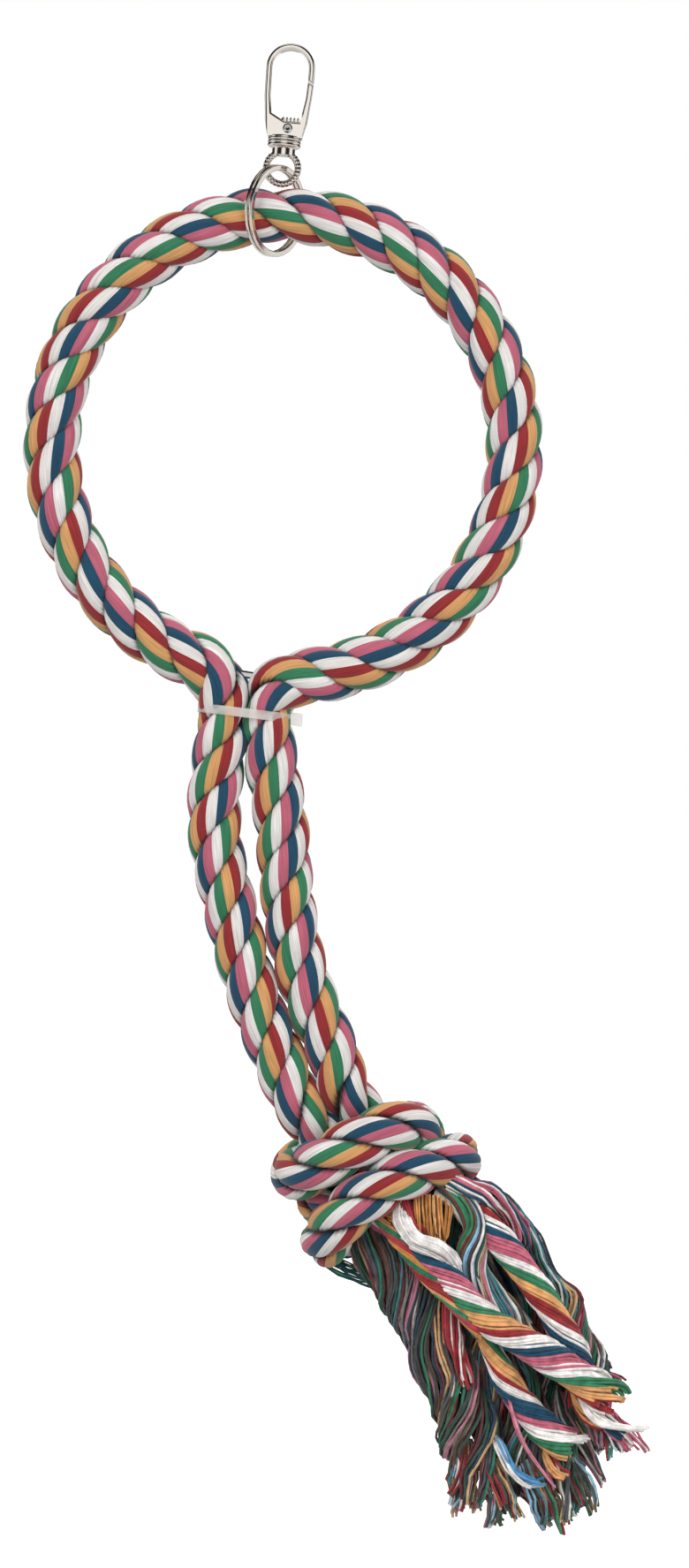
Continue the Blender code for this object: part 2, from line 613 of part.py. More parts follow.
def ring_route():
    """Centre line of the rope round the hoop, from the left knuckle up, round and down to the right one."""
    centre = (RING_CENTRE.x, RING_CENTRE.z)
    left_x = LEFT_KNUCKLE.x
    right_x = RIGHT_KNUCKLE.x
    leave = arc(centre, RING_RADIUS, LEFT_LEAVES_AT, LEFT_LEAVES_AT, 1)[0]
    bend_x = right_x + RIGHT_BEND_RADIUS
    rejoin = -math.pi / 2 + math.asin((bend_x - centre[0]) / RING_RADIUS)
    ground = centre[1] + RING_RADIUS * math.sin(rejoin)
    bend_centre = (bend_x, ground - RIGHT_BEND_RADIUS)
    straight = TIE_CENTRE_Z + TIE_HEIGHT
    swing_x = left_x - leave[0]
    swing_z = leave[1] - straight
    left_bend = [(left_x - across * swing_x, straight + up * swing_z) for across, up in LEFT_BEND]
    left_bend += [leave, arc(centre, RING_RADIUS, LEFT_LEAVES_AT - LEFT_BEND_BLEND, 0.0, 1)[0]]
    left_bend = smooth_route(left_bend, BEND_STEP)
    start = LEFT_LEAVES_AT - 2 * LEFT_BEND_BLEND
    hoop = arc(centre, RING_RADIUS, start, rejoin + LEFT_BEND_BLEND, HOOP_STEPS)
    right_bend = arc(bend_centre, RIGHT_BEND_RADIUS, math.pi / 2, math.pi, BEND_STEPS)
    flat = [(left_x, KNUCKLE_Z)] + [tuple(point) for point in left_bend] + hoop + right_bend
    flat += [(right_x, min(straight, bend_centre[1] - GAP)), (right_x, KNUCKLE_Z)]
    return [Vector((x, 0.0, z)) for x, z in flat]


def make_ring(parts, cutters, rope_colour, metal):
    """Steel hoop, and the rope laid over it with a bore for the hoop and a socket over each knuckle."""
    points = ring_route()
    radii = []
    for point in points:
        rise = (point.z - TIE_CENTRE_Z - 2 * TIE_HEIGHT) / ROPE_DIAMETER
        radii.append(PINCHED_RADIUS + (ROPE_RADIUS - PINCHED_RADIUS) * min(1.0, max(0.0, rise)))
    rope = as_mesh(tube("ring_rope", points, radii, parts, resolution=4), parts)
    for name, radius, owner in (("ring_wire", WIRE_RADIUS, parts), ("wire_bore", WIRE_RADIUS + GAP, cutters)):
        bpy.ops.mesh.primitive_torus_add(
            major_radius=RING_RADIUS, minor_radius=radius, major_segments=RING_STEPS, minor_segments=6,
            location=RING_CENTRE, rotation=(math.pi / 2, 0.0, 0.0))
        adopt(name, owner)
    shade(bpy.data.objects["ring_wire"])
    bpy.data.objects["ring_wire"].data.materials.append(metal)
    combine(rope, bpy.data.objects["wire_bore"], "DIFFERENCE")
    for side, centre in (("left", LEFT_KNUCKLE), ("right", RIGHT_KNUCKLE)):
        bpy.ops.mesh.primitive_uv_sphere_add(
            radius=KNUCKLE_RADIUS + KNUCKLE_GAP, segments=24, ring_count=16, location=centre)
        combine(rope, adopt(f"{side}_knuckle_room", cutters), "DIFFERENCE")
    rope.data.materials.append(rope_colour)


def make_tie(parts, cutters, nylon):
    """Cable tie: a strap round both rope ends, with its head at the right."""
    inner = PINCHED_RADIUS + GAP
    outer = inner + TIE_THICKNESS
    reach = LEG_SPACING / 2
    outlines = []
    for radius in (outer, inner):
        right = arc((reach, 0.0), radius, -math.pi / 2, math.pi / 2, 13)
        left = arc((-reach, 0.0), radius, math.pi / 2, 1.5 * math.pi, 13)
        outlines.append(right + left)
    strap = plate("cable_tie", outlines, TIE_HEIGHT, parts)
    strap.data.transform(Matrix.Rotation(-math.pi / 2, 4, "X"))
    bpy.ops.mesh.primitive_cube_add(size=1.0)
    head = adopt("tie_head", cutters)
    head.data.transform(Matrix.Diagonal((TIE_HEAD, TIE_HEAD * 1.2, TIE_HEAD, 1.0)))
    head.location = (reach + inner + TIE_THICKNESS / 3 + TIE_HEAD / 2, 0.0, 0.0)
    combine(strap, head, "UNION")
    strap.data.materials.append(nylon)
    middle = (LEFT_KNUCKLE + RIGHT_KNUCKLE) / 2
    strap.location = (middle.x, 0.0, TIE_CENTRE_Z)
    strap.rotation_euler = (0.0, -TIE_TILT, 0.0)


def knot_routes():
    """Centre lines of the two legs through the knot, drawn tight, and their radii."""
    drafts = []
    for route in (LEFT_KNOT_ROUTE, RIGHT_KNOT_ROUTE):
        drafts.append(smooth_route([knot_point(*place) for place in route], KNOT_STEP))
    radii = [np.full(len(draft), KNOT_ROPE_DIAMETER / 2) for draft in drafts]
    return settle(drafts, radii, KNOT_GAP, KNOT_STEP, KNOT_SETTLE_ROUNDS), radii


def make_legs_and_knot(parts, leg_colour, knot_colour, hinge):
    """Two legs hanging from their knuckles, and the overhand knot that ties them together."""
    routes, radii = knot_routes()
    print(f"knot, least gap between its passes: {least_gap(routes, radii, KNOT_STEP) / MM:.2f} mm")
    for side, knuckle, leg, route, radius in (
            ("left", LEFT_KNUCKLE, LEFT_LEG_ROUTE, routes[0], radii[0]),
            ("right", RIGHT_KNUCKLE, RIGHT_LEG_ROUTE, routes[1], radii[1])):
        entry = route[0]
        inward = (route[1] - route[0]) / np.linalg.norm(route[1] - route[0])
        places = [np.array([LEFT_KNUCKLE.x + x * MM, 0.0, KNUCKLE_Z - z * MM]) for x, z in leg[1:]]
        lead = entry - inward * (GAP + LEG_LEAD)
        upper = smooth_route([np.array(knuckle)] + places + [lead], LEG_STEP)
        line = np.vstack([upper, entry - inward * GAP])
        leg_radii = np.full(len(line), ROPE_RADIUS - GAP)
        leg_radii[0] = KNUCKLE_RADIUS
        leg_radii[-1] = KNOT_ROPE_DIAMETER / 2
        leg_radii[-2] = (KNOT_ROPE_DIAMETER / 2 + ROPE_RADIUS) / 2
        nose = [knuckle + Vector((0.0, 0.0, KNUCKLE_RADIUS * math.sin(a))) for a in KNUCKLE_LATITUDES]
        nose_radii = [KNUCKLE_RADIUS * math.cos(a) for a in KNUCKLE_LATITUDES]
        leg_tube = tube(f"{side}_tail_rope", nose + list(line), nose_radii + list(leg_radii), parts)
        leg_tube.data.materials.append(leg_colour)
        knot_tube = tube(f"knot_rope_{side}", route, radius, parts)
        knot_tube.data.materials.append(knot_colour)
        for piece in (leg_tube, knot_tube):
            piece.parent = hinge
            piece.matrix_parent_inverse = hinge.matrix_world.inverted()
    return routes, radii


def make_tassel(parts, colour, knot, hinge):
    """Six unlaid strands, three from each rope end, spread below the knot."""
    routes = []
    radii = []
    for places, root, middle, tip in TASSEL_STRANDS:
        route = smooth_route([knot_point(*place) for place in places], KNOT_STEP * 1.25)
        along = np.linspace(0.0, 1.0, len(route))
        sizes = np.interp(along, [0.0, 0.35, 0.9, 1.0], [root, middle, tip, tip * 0.8])
        routes.append(route)
        radii.append(sizes * MM / 2)
    routes = settle(routes, radii, KNOT_GAP, KNOT_STEP, TASSEL_SETTLE_ROUNDS, held=knot)
    print(f"tassel, least gap between its strands: {least_gap(routes, radii, KNOT_STEP) / MM:.2f} mm")
    for i, (route, radius) in enumerate(zip(routes, radii)):
        strand = tube(f"tassel_strand_{i + 1}", route, radius, parts)
        strand.data.materials.append(colour)
        strand.parent = hinge
        strand.matrix_parent_inverse = hinge.matrix_world.inverted()


def main():
    """Build the swing."""
    clear_scene()
    parts = new_collection("bird_swing")
    cutters = new_collection("cutters")
    nickel = new_material("polished_nickel", (0.62, 0.61, 0.59), 0.12, 1.0)
    steel = new_material("spring_steel", (0.55, 0.55, 0.56), 0.25, 1.0)
    cotton = new_material("cotton_rope", (0.55, 0.38, 0.34), 0.9, 0.0)
    yarn = new_material("loose_yarn", (0.16, 0.15, 0.13), 0.95, 0.0)
    nylon = new_material("natural_nylon", (0.82, 0.79, 0.75), 0.4, 0.0)
    hook_axis = add_empty("hook_axis", parts, (0.0, 0.0, 0.0))
    hook_axis.rotation_euler = (0.0, HOOK_TILT, 0.0)
    gate_hinge = add_empty("gate_hinge", parts, (PIN_OFFSET, 0.0, PIN_DEPTH), parent=hook_axis)
    tail_hinge = add_empty("tail_hinge", parts, (LEFT_KNUCKLE + RIGHT_KNUCKLE) / 2)
    bpy.context.view_layer.update()
    make_hook_frame(parts, cutters, nickel, hook_axis)
    make_gate(parts, cutters, nickel, gate_hinge)
    make_pin(parts, steel, hook_axis)
    make_spring(parts, steel, hook_axis)
    make_swivel_eye(parts, cutters, nickel, hook_axis)
    make_split_ring(parts, cutters, nickel)
    make_ring(parts, cutters, cotton, steel)
    make_tie(parts, cutters, nylon)
    knot = make_legs_and_knot(parts, cotton, cotton, tail_hinge)
    make_tassel(parts, yarn, knot, tail_hinge)
    for label, point in (("gate hinge", gate_hinge.matrix_world.translation), ("eye bar", EYE_BAR_POINT),
                         ("ring top", RING_CENTRE + Vector((0.0, 0.0, RING_RADIUS))),
                         ("tail hinge", tail_hinge.matrix_world.translation)):
        print(label, [round(value, 5) for value in point])


main()
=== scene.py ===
"""Looks of the bird swing: a ring of laid rope on a wire hoop, with hook, tie, knotted legs and a tassel.

X is to the right, Y away from the viewer and Z up, and the origin is the inside top of the hook.
"""

import logging
import math
from dataclasses import dataclass
from enum import Enum
from typing import Any, ClassVar, Sequence

import bmesh
import bpy
import numpy as np
from mathutils import Matrix, Vector


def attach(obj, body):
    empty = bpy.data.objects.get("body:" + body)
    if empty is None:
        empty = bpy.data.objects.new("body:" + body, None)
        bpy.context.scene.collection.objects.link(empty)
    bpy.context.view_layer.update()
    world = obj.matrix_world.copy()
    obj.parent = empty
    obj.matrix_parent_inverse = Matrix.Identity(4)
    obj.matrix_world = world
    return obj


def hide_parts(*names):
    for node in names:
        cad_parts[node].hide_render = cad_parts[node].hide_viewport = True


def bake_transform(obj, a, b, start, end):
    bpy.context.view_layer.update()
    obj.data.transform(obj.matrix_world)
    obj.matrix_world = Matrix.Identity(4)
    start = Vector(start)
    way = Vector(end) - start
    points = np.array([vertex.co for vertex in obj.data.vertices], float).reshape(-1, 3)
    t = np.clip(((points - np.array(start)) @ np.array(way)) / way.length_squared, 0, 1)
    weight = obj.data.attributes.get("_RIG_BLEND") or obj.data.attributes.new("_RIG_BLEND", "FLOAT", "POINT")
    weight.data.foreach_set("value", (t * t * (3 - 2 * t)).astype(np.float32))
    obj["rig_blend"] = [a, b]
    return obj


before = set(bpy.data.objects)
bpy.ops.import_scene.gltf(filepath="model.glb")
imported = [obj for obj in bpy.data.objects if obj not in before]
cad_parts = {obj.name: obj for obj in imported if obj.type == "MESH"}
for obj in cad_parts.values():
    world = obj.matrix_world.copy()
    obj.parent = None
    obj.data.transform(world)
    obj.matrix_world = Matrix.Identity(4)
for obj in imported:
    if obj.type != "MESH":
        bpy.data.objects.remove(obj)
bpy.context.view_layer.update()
LOG = logging.getLogger("bird_swing")

MM = 0.001
FULL_TURN = 2 * math.pi
WHITE = (1.0, 1.0, 1.0, 1.0)
SAME_PLACE = 0.002 * MM
NOISE_MIDDLE = (0.3, 0.7)
SPAN_STEPS = 24

# Places that the solids share, in mm: right, and up
RING_CENTRE = (-2.5, -107.56)
RING_RADIUS = 62.9
LEFT_KNUCKLE = (-19.0, -184.66)
RIGHT_KNUCKLE = (-6.8, -184.66)
TIE_MIDDLE = -12.9
TIE_HEIGHT = -180.06

Pair = tuple[float, float]
Triple = tuple[float, float, float]
Points = np.ndarray
Route = Sequence[Sequence[float]]


def linear(hex_colour: str) -> tuple[float, float, float, float]:
    """Turn an sRGB hex colour into linear values.

    Args:
        hex_colour: six hex digits after a hash.

    Returns:
        Red, green, blue and full alpha.
    """
    shares = [int(hex_colour[i:i + 2], 16) / 255 for i in (1, 3, 5)]
    values = [s / 12.92 if s <= 0.04045 else ((s + 0.055) / 1.055) ** 2.4 for s in shares]
    return values[0], values[1], values[2], 1.0


class Field:
    """A value that a node gives, to link or to reckon with as if it were a number or a vector."""

    def __init__(self, graph: "Graph", socket: bpy.types.NodeSocket | None) -> None:
        """Take an output of a node."""
        self.graph = graph
        self.socket = socket

    def out(self, name: str) -> "Field":
        """Another output of the same node."""
        return Field(self.graph, self.socket.node.outputs[name])

    def is_number(self) -> bool:
        """Tell a number from a vector or a colour."""
        return self.socket.type in ("VALUE", "INT", "BOOLEAN")

    def with_other(self, operation: str, other: Any) -> "Field":
        """Reckon with another value, as numbers or as vectors."""
        ways = self.graph.math if self.is_number() else self.graph.vector
        return ways(operation, self, other)

    def __add__(self, other: Any) -> "Field":
        """Add a value."""
        return self.with_other("ADD", other)

    def __sub__(self, other: Any) -> "Field":
        """Take a value away."""
        return self.with_other("SUBTRACT", other)

    def __rsub__(self, other: float) -> "Field":
        """Take this away from a number."""
        return self.graph.math("SUBTRACT", other, self)

    def scaled(self, share: Any) -> "Field":
        """Scale a vector or a colour."""
        return self.graph.add("ShaderNodeVectorMath", self, into={"Scale": share}, operation="SCALE")

    def __mul__(self, other: Any) -> "Field":
        """Multiply by a number, which scales a vector."""
        return self.with_other("MULTIPLY", other) if self.is_number() else self.scaled(other)

    def __truediv__(self, other: Any) -> "Field":
        """Divide by a number."""
        return self.graph.math("DIVIDE", self, other)

    def __pow__(self, other: float) -> "Field":
        """Raise to a power."""
        return self.graph.math("POWER", self, other)


class Graph:
    """A node tree, with short ways to add and link its nodes."""

    def __init__(self, tree: bpy.types.NodeTree) -> None:
        """Take a tree to work on."""
        self.tree = tree

    def plug(self, socket: bpy.types.NodeSocket, value: Any) -> None:
        """Give an input a link or a constant.

        Args:
            socket: the input.
            value: the field or the constant.
        """
        if isinstance(value, Field):
            self.tree.links.new(value.socket, socket)
        else:
            socket.default_value = value

    def wire(self, node: bpy.types.Node, values: dict[str, Any]) -> None:
        """Give a node's inputs links or constants, by their names."""
        for name, value in values.items():
            self.plug(next(s for s in node.inputs if s.name == name and s.enabled), value)

    def add(self, kind: str, *values: Any, into: dict[str, Any] | None = None, **settings: Any) -> Field:
        """Add a node with its settings and inputs.

        Args:
            kind: the node's type name.
            values: links or constants for its first inputs, in order.
            into: more inputs, by name.
            settings: the node's own options.

        Returns:
            The node's first output.
        """
        node = self.tree.nodes.new(kind)
        for name, value in settings.items():
            setattr(node, name, value)
        for socket, value in zip([s for s in node.inputs if s.enabled], values):
            self.plug(socket, value)
        self.wire(node, into or {})
        return Field(self, next((s for s in node.outputs if s.enabled), None))

    def math(self, operation: str, *values: Any) -> Field:
        """Reckon with numbers."""
        return self.add("ShaderNodeMath", *values, operation=operation)

    def vector(self, operation: str, *values: Any) -> Field:
        """Reckon with vectors."""
        return self.add("ShaderNodeVectorMath", *values, operation=operation)

    def cos_sin(self, laps: Field) -> tuple[Field, Field]:
        """Cosine and sine of an angle that is given in whole turns."""
        angle = laps * FULL_TURN
        return self.math("COSINE", angle), self.math("SINE", angle)

    def ranged(self, value: Field, *limits: float, smooth: bool = False) -> Field:
        """Map a range of a value, its first two limits, to the other two."""
        way = "SMOOTHSTEP" if smooth else "LINEAR"
        return self.add("ShaderNodeMapRange", value, *limits, interpolation_type=way)

    def toned(self, noise: Field, low: float, high: float) -> Field:
        """Map the middle of a noise's range to two limits."""
        return self.ranged(noise, *NOISE_MIDDLE, low, high)

    def mixed(self, share: Any, first: Any, second: Any) -> Field:
        """Mix two numbers."""
        return self.add("ShaderNodeMix", share, first, second, data_type="FLOAT")

    def noise(self, place: Field, scale: float, detail: float, roughness: float = 0.5) -> Field:
        """Noise at a place."""
        return self.add("ShaderNodeTexNoise", into={"Vector": place, "Scale": scale, "Detail": detail,
                                                    "Roughness": roughness})

    def drift(self, along: Field) -> Field:
        """Slow noise along a line, on both sides of nought."""
        inputs = {"W": along, "Scale": 1.0, "Detail": 0.0}
        return self.add("ShaderNodeTexNoise", into=inputs, noise_dimensions="1D") - 0.5

    def place(self) -> Field:
        """Place of a shaded point on its piece."""
        return self.add("ShaderNodeTexCoord").out("Object")

    def read(self, name: str) -> Field:
        """Attribute of a shaded point."""
        return self.add("ShaderNodeAttribute", attribute_name=name).out("Fac")

    def bump(self, height: Field, strength: float, depth: float = 0.1 * MM) -> Field:
        """Fine relief of a surface."""
        return self.add("ShaderNodeBump", into={"Strength": strength, "Distance": depth, "Height": height})

    def bands(self, share: Field, colours: Sequence[str]) -> Field:
        """Read a colour from equal bands of flat colour.

        Args:
            share: where to read, from nought to one.
            colours: the bands' hex colours.

        Returns:
            The colour.
        """
        ramp = self.add("ShaderNodeValToRGB", share)
        stops = ramp.socket.node.color_ramp
        stops.interpolation = "CONSTANT"
        while len(stops.elements) < len(colours):
            stops.elements.new(1.0)
        for i, colour in enumerate(colours):
            stops.elements[i].position = i / len(colours)
            stops.elements[i].color = linear(colour)
        return ramp

    def named(self, name: str, kind: str = "FLOAT") -> Field:
        """Attribute of a point of geometry."""
        return self.add("GeometryNodeInputNamedAttribute", name, data_type=kind)

    def stored(self, geometry: Field, name: str, value: Any, domain: str = "POINT") -> Field:
        """Store an attribute on geometry.

        Args:
            geometry: the geometry.
            name: the attribute's name.
            value: what it holds, a number or a vector.
            domain: what it is stored on.

        Returns:
            The geometry with its attribute.
        """
        kind = "FLOAT_VECTOR" if isinstance(value, Field) and not value.is_number() else "FLOAT"
        return self.add("GeometryNodeStoreNamedAttribute", geometry, into={"Name": name, "Value": value},
                        data_type=kind, domain=domain)

    def end(self, made: Field, material: Field) -> None:
        """End a geometry tree: real geometry, its material, smooth shading and the output.

        Args:
            made: the geometry.
            material: its material.
        """
        real = self.add("GeometryNodeRealizeInstances", made)
        dressed = self.add("GeometryNodeSetMaterial", real, into={"Material": material})
        self.add("NodeGroupOutput", self.add("GeometryNodeSetShadeSmooth", dressed))


def new_tree(name: str, **inputs: Sequence[str]) -> tuple[Graph, dict[str, Field]]:
    """Start a geometry node tree with named inputs.

    Args:
        name: the tree's name.
        inputs: names of its inputs besides the geometry and the material, by kind of socket.

    Returns:
        The tree's graph and its inputs.
    """
    tree = bpy.data.node_groups.new(name, "GeometryNodeTree")
    tree.interface.new_socket("Geometry", in_out="OUTPUT", socket_type="NodeSocketGeometry")
    for kind, names in {"Geometry": ("Geometry",), **inputs, "Material": ("Material",)}.items():
        for label in names:
            tree.interface.new_socket(label, in_out="INPUT", socket_type=f"NodeSocket{kind}")
    graph = Graph(tree)
    given = tree.nodes.new("NodeGroupInput")
    return graph, {socket.name: Field(graph, socket) for socket in given.outputs if socket.name}


def new_material(name: str) -> tuple[bpy.types.Material, Graph, bpy.types.Node]:
    """Start a material.

    Args:
        name: its name.

    Returns:
        The material, its graph and its shader.
    """
    material = bpy.data.materials.new(name)
    material.use_nodes = True
    return material, Graph(material.node_tree), material.node_tree.nodes["Principled BSDF"]


def keep(name: str, data: bpy.types.ID) -> bpy.types.Object:
    """Put data into the scene as an object at the origin.

    Args:
        name: the object's name.
        data: a mesh, a camera or a light.

    Returns:
        The object.
    """
    obj = bpy.data.objects.new(name, data)
    bpy.context.scene.collection.objects.link(obj)
    return obj


def keep_form(name: str, form: bmesh.types.BMesh) -> bpy.types.Object:
    """Put a form into the scene as an object with smooth faces.

    Args:
        name: the object's name.
        form: the form, which is used up.

    Returns:
        The object.
    """
    for face in form.faces:
        face.smooth = True
    mesh = bpy.data.meshes.new(name)
    form.to_mesh(mesh)
    form.free()
    return keep(name, mesh)


def evaluated(obj: bpy.types.Object) -> bpy.types.Mesh:
    """Take the evaluated mesh of an object and remove the object.

    Args:
        obj: the object.

    Returns:
        The mesh.
    """
    graph = bpy.context.evaluated_depsgraph_get()
    mesh = bpy.data.meshes.new_from_object(obj.evaluated_get(graph))
    bpy.data.objects.remove(obj, do_unlink=True)
    return mesh


def close_up(mesh: bpy.types.Mesh) -> None:
    """Merge doubles, fill open ends with flat caps and turn all faces outwards.

    Args:
        mesh: the mesh, which is changed.
    """
    form = bmesh.new()
    form.from_mesh(mesh)
    bmesh.ops.remove_doubles(form, verts=form.verts, dist=SAME_PLACE)
    rims = [edge for edge in form.edges if edge.is_boundary]
    for cap in bmesh.ops.holes_fill(form, edges=rims, sides=0)["faces"]:
        cap.smooth = False
        for edge in cap.edges:
            edge.smooth = False
    bmesh.ops.recalc_face_normals(form, faces=form.faces)
    form.to_mesh(mesh)
    form.free()
    mesh.update()


def grow(name: str, mesh: bpy.types.Mesh, graph: Graph, sizes: dict[str, Any],
         kept: Sequence[str] = ()) -> bpy.types.Object:
    """Run a node tree on a mesh and keep the result as a plain mesh object.

    Args:
        name: the new piece's name.
        mesh: what the tree starts from.
        graph: the geometry node tree.
        sizes: values for the tree's inputs, by name.
        kept: attributes that the piece's material reads; the others are removed.

    Returns:
        The new piece, closed and with its faces outwards.
    """
    holder = keep(f"{name}.guide", mesh)
    modifier = holder.modifiers.new("grow", "NODES")
    modifier.node_group = graph.tree
    for item in graph.tree.interface.items_tree:
        if item.in_out == "INPUT" and item.name in sizes:
            modifier[item.identifier] = sizes[item.name]
    made = evaluated(holder)
    close_up(made)
    needed = (*kept, "sharp_face", "material_index", "sharp_edge")
    for attribute in list(made.attributes):
        if not (attribute.is_required or attribute.is_internal or attribute.name in needed):
            made.attributes.remove(attribute)
    made.name = name
    return keep(name, made)


def spread(points: Points, step: float) -> Points:
    """Space the points of a line evenly, from its first point to its last.

    Args:
        points: the line's points.
        step: the spacing that is wanted.

    Returns:
        The evenly spaced points.
    """
    travel = np.concatenate([[0.0], np.cumsum(np.linalg.norm(np.diff(points, axis=0), axis=1))])
    wanted = np.linspace(0.0, travel[-1], max(3, int(round(travel[-1] / step)) + 1))
    return np.column_stack([np.interp(wanted, travel, points[:, axis]) for axis in range(points.shape[1])])


def smooth_route(points: Route, step: float) -> Points:
    """Read evenly spaced points from a smooth curve through a route's own points.

    Args:
        points: the route's points.
        step: the spacing that is wanted.

    Returns:
        The evenly spaced points.
    """
    given = np.array(points, dtype=float)
    padded = np.vstack([2 * given[0] - given[1], given, 2 * given[-1] - given[-2]])
    fine = []
    for i in range(1, len(padded) - 2):
        p0, p1, p2, p3 = padded[i - 1:i + 3]
        for t in np.linspace(0.0, 1.0, SPAN_STEPS, endpoint=False):
            fine.append(0.5 * (2 * p1 + (p2 - p0) * t + (2 * p0 - 5 * p1 + 4 * p2 - p3) * t ** 2
                               + (3 * p1 - p0 - 3 * p2 + p3) * t ** 3))
    fine.append(given[-1])
    return spread(np.array(fine), step)


def arc(centre: Pair, radius: float, start: float, end: float, count: int) -> list[Pair]:
    """Points of an arc, as pairs of right and up."""
    angles = np.linspace(start, end, count)
    return [(centre[0] + radius * math.cos(a), centre[1] + radius * math.sin(a)) for a in angles]


@dataclass(frozen=True)
class Path:
    """A line for something to follow, with a frame that turns as little as it can along the way.

    Lengths are in metres. girth is a share of the rope's size, or the radius of a bundle.
    """

    points: Points
    along: Points
    side: Points
    across: Points
    travel: Points
    girth: Points

    @classmethod
    def through(cls, points: Points, girth: Points, first_side: Sequence[float]) -> "Path":
        """Set up the frames of a line.

        Args:
            points: evenly spaced points, in metres.
            girth: a size at each of them.
            first_side: roughly the side direction at the first point.

        Returns:
            The path.
        """
        along = np.gradient(points, axis=0)
        along /= np.linalg.norm(along, axis=1)[:, None]
        side = np.zeros_like(points)
        last = np.array(first_side, dtype=float)
        for i, way in enumerate(along):
            last = last - way * (last @ way)
            last = last / np.linalg.norm(last)
            side[i] = last
        steps = np.linalg.norm(np.diff(points, axis=0), axis=1)
        travel = np.concatenate([[0.0], np.cumsum(steps)])
        return cls(points, along, side, np.cross(along, side), travel, girth)

    def cut(self, first: int, last: int) -> "Path":
        """Take a stretch of the path, with its travel still counted from the whole path's start."""
        here = slice(first, last + 1)
        return Path(*(values[here] for values in vars(self).values()))

    def nearest(self, place: Sequence[float]) -> int:
        """Number of the path's point that is nearest to a place."""
        return int(np.argmin(np.linalg.norm(self.points - np.array(place), axis=1)))

    def chain(self, name: str) -> bpy.types.Mesh:
        """Write the path as a chain of edges that carries its frame as attributes.

        Args:
            name: the mesh's name.

        Returns:
            The mesh.
        """
        mesh = bpy.data.meshes.new(name)
        mesh.from_pydata(self.points.tolist(), [(i, i + 1) for i in range(len(self.points) - 1)], [])
        for label, values in vars(self).items():
            if label != "points":
                kind, part = ("FLOAT", "value") if values.ndim == 1 else ("FLOAT_VECTOR", "vector")
                numbers = np.ascontiguousarray(values, dtype=np.float32).ravel()
                mesh.attributes.new(label, kind, "POINT").data.foreach_set(part, numbers)
        return mesh


class Dye(Enum):
    """Colours of the rope's seven yarns, in their order round a strand."""

    GREEN = "#39825D"
    APRICOT = "#DFA66C"
    RED = "#9C3235"
    NATURAL = "#F0EBE7"
    BLUE = "#224E68"
    ROSE = "#C7697E"
    BLEACHED = "#F1EDEA"


class Yarns(Enum):
    """Colours of the threads in a loose bundle."""

    BRIGHT = tuple(dye.value for dye in Dye)
    CORE = ("#4A4B49", "#35574A", "#6B4E43", "#85363D", "#7D7B78", "#33475C", "#5A5843", "#54565A",
            "#B9788A", "#66343A", "#37765A", "#C7A274", "#474849", "#DCD5CF", "#4A838B", "#5F524B")
    WHITE = ("#E8E3E0", "#DCD6D1", "#F1EEEC", "#E4DFDB")
    APRICOT = ("#DFA66C", "#CF8F4C", "#E9B377", "#D99A55")
    ROSE = ("#C7697E", "#224E68", "#E6E0DC", "#D48798", "#F1EEEC", "#BD5E74")
    WISP = ("#39825D", "#1E6B4A", "#224E68", "#57A37C", "#DCD6D1", "#2B7352")
    WARM = ("#9C3235", "#B8434A", "#E6E0DC", "#8E272E", "#B23A40", "#9C3235")
    EDGE = ("#9C3235", "#DFA66C", "#39825D", "#B8434A", "#CF8F4C", "#2B7352")
    PINK = ("#C7697E", "#BD5E74", "#D48798")
    SKY = ("#5B9BC8", "#E6E0DC", "#8FBCD9", "#4A86B4")
    TIPS = ("#DCD5CF", "#35574A", "#B9788A", "#C7A274", "#4A838B", "#85363D",
            "#E6E0DC", "#4A4B49", "#39825D", "#9C3235", "#5A5843", "#8FBCD9")


@dataclass(frozen=True)
class CottonRope:
    """Finish of the rope: dyed cotton yarns, matt and a little fuzzy, with shade painted into the colour
    where strands meet.
    """

    roughness: float = 0.92
    sheen: float = 0.25
    specular: float = 0.2
    fibre_width: float = 0.35 * MM
    fibre_length: float = 5.0 * MM
    fibre_tones: Pair = (0.62, 0.96)
    fibre_relief: Pair = (0.35, 0.2 * MM)
    patches: float = 160.0
    patch_tones: Pair = (0.94, 1.04)
    # darkest share of the colour in the shade that is painted where strands meet
    hollow_tone: float = 0.05

    def material(self) -> bpy.types.Material:
        """Build the material, which reads the yarn, run and painted seam shade of each strand.

        Returns:
            The material.
        """
        material, graph, shader = new_material("dyed_cotton_rope")
        yarn, run, hollow = (graph.read(name) for name in ("yarn", "run", "hollow"))
        dyed = graph.bands(yarn * (1 / len(Dye)), [dye.value for dye in Dye])
        fibres = yarn * (Rope.yarn_width() / self.fibre_width)
        place = graph.add("ShaderNodeCombineXYZ", fibres, run * (1 / self.fibre_length))
        fibre = graph.noise(place, 1.0, 3.0)
        patch = graph.noise(graph.place(), self.patches, 2.0)
        tone = graph.toned(fibre, *self.fibre_tones) * graph.toned(patch, *self.patch_tones)
        # Painted shade: the colour is darkened towards where strands meet, down to its darkest share.
        tone = tone * graph.ranged(hollow, 0.0, 1.0, 1.0, self.hollow_tone)
        graph.wire(shader, {"Base Color": dyed * tone, "Normal": graph.bump(fibre, *self.fibre_relief),
                            "Roughness": self.roughness, "Sheen Weight": self.sheen,
                            "Specular IOR Level": self.specular})
        return material


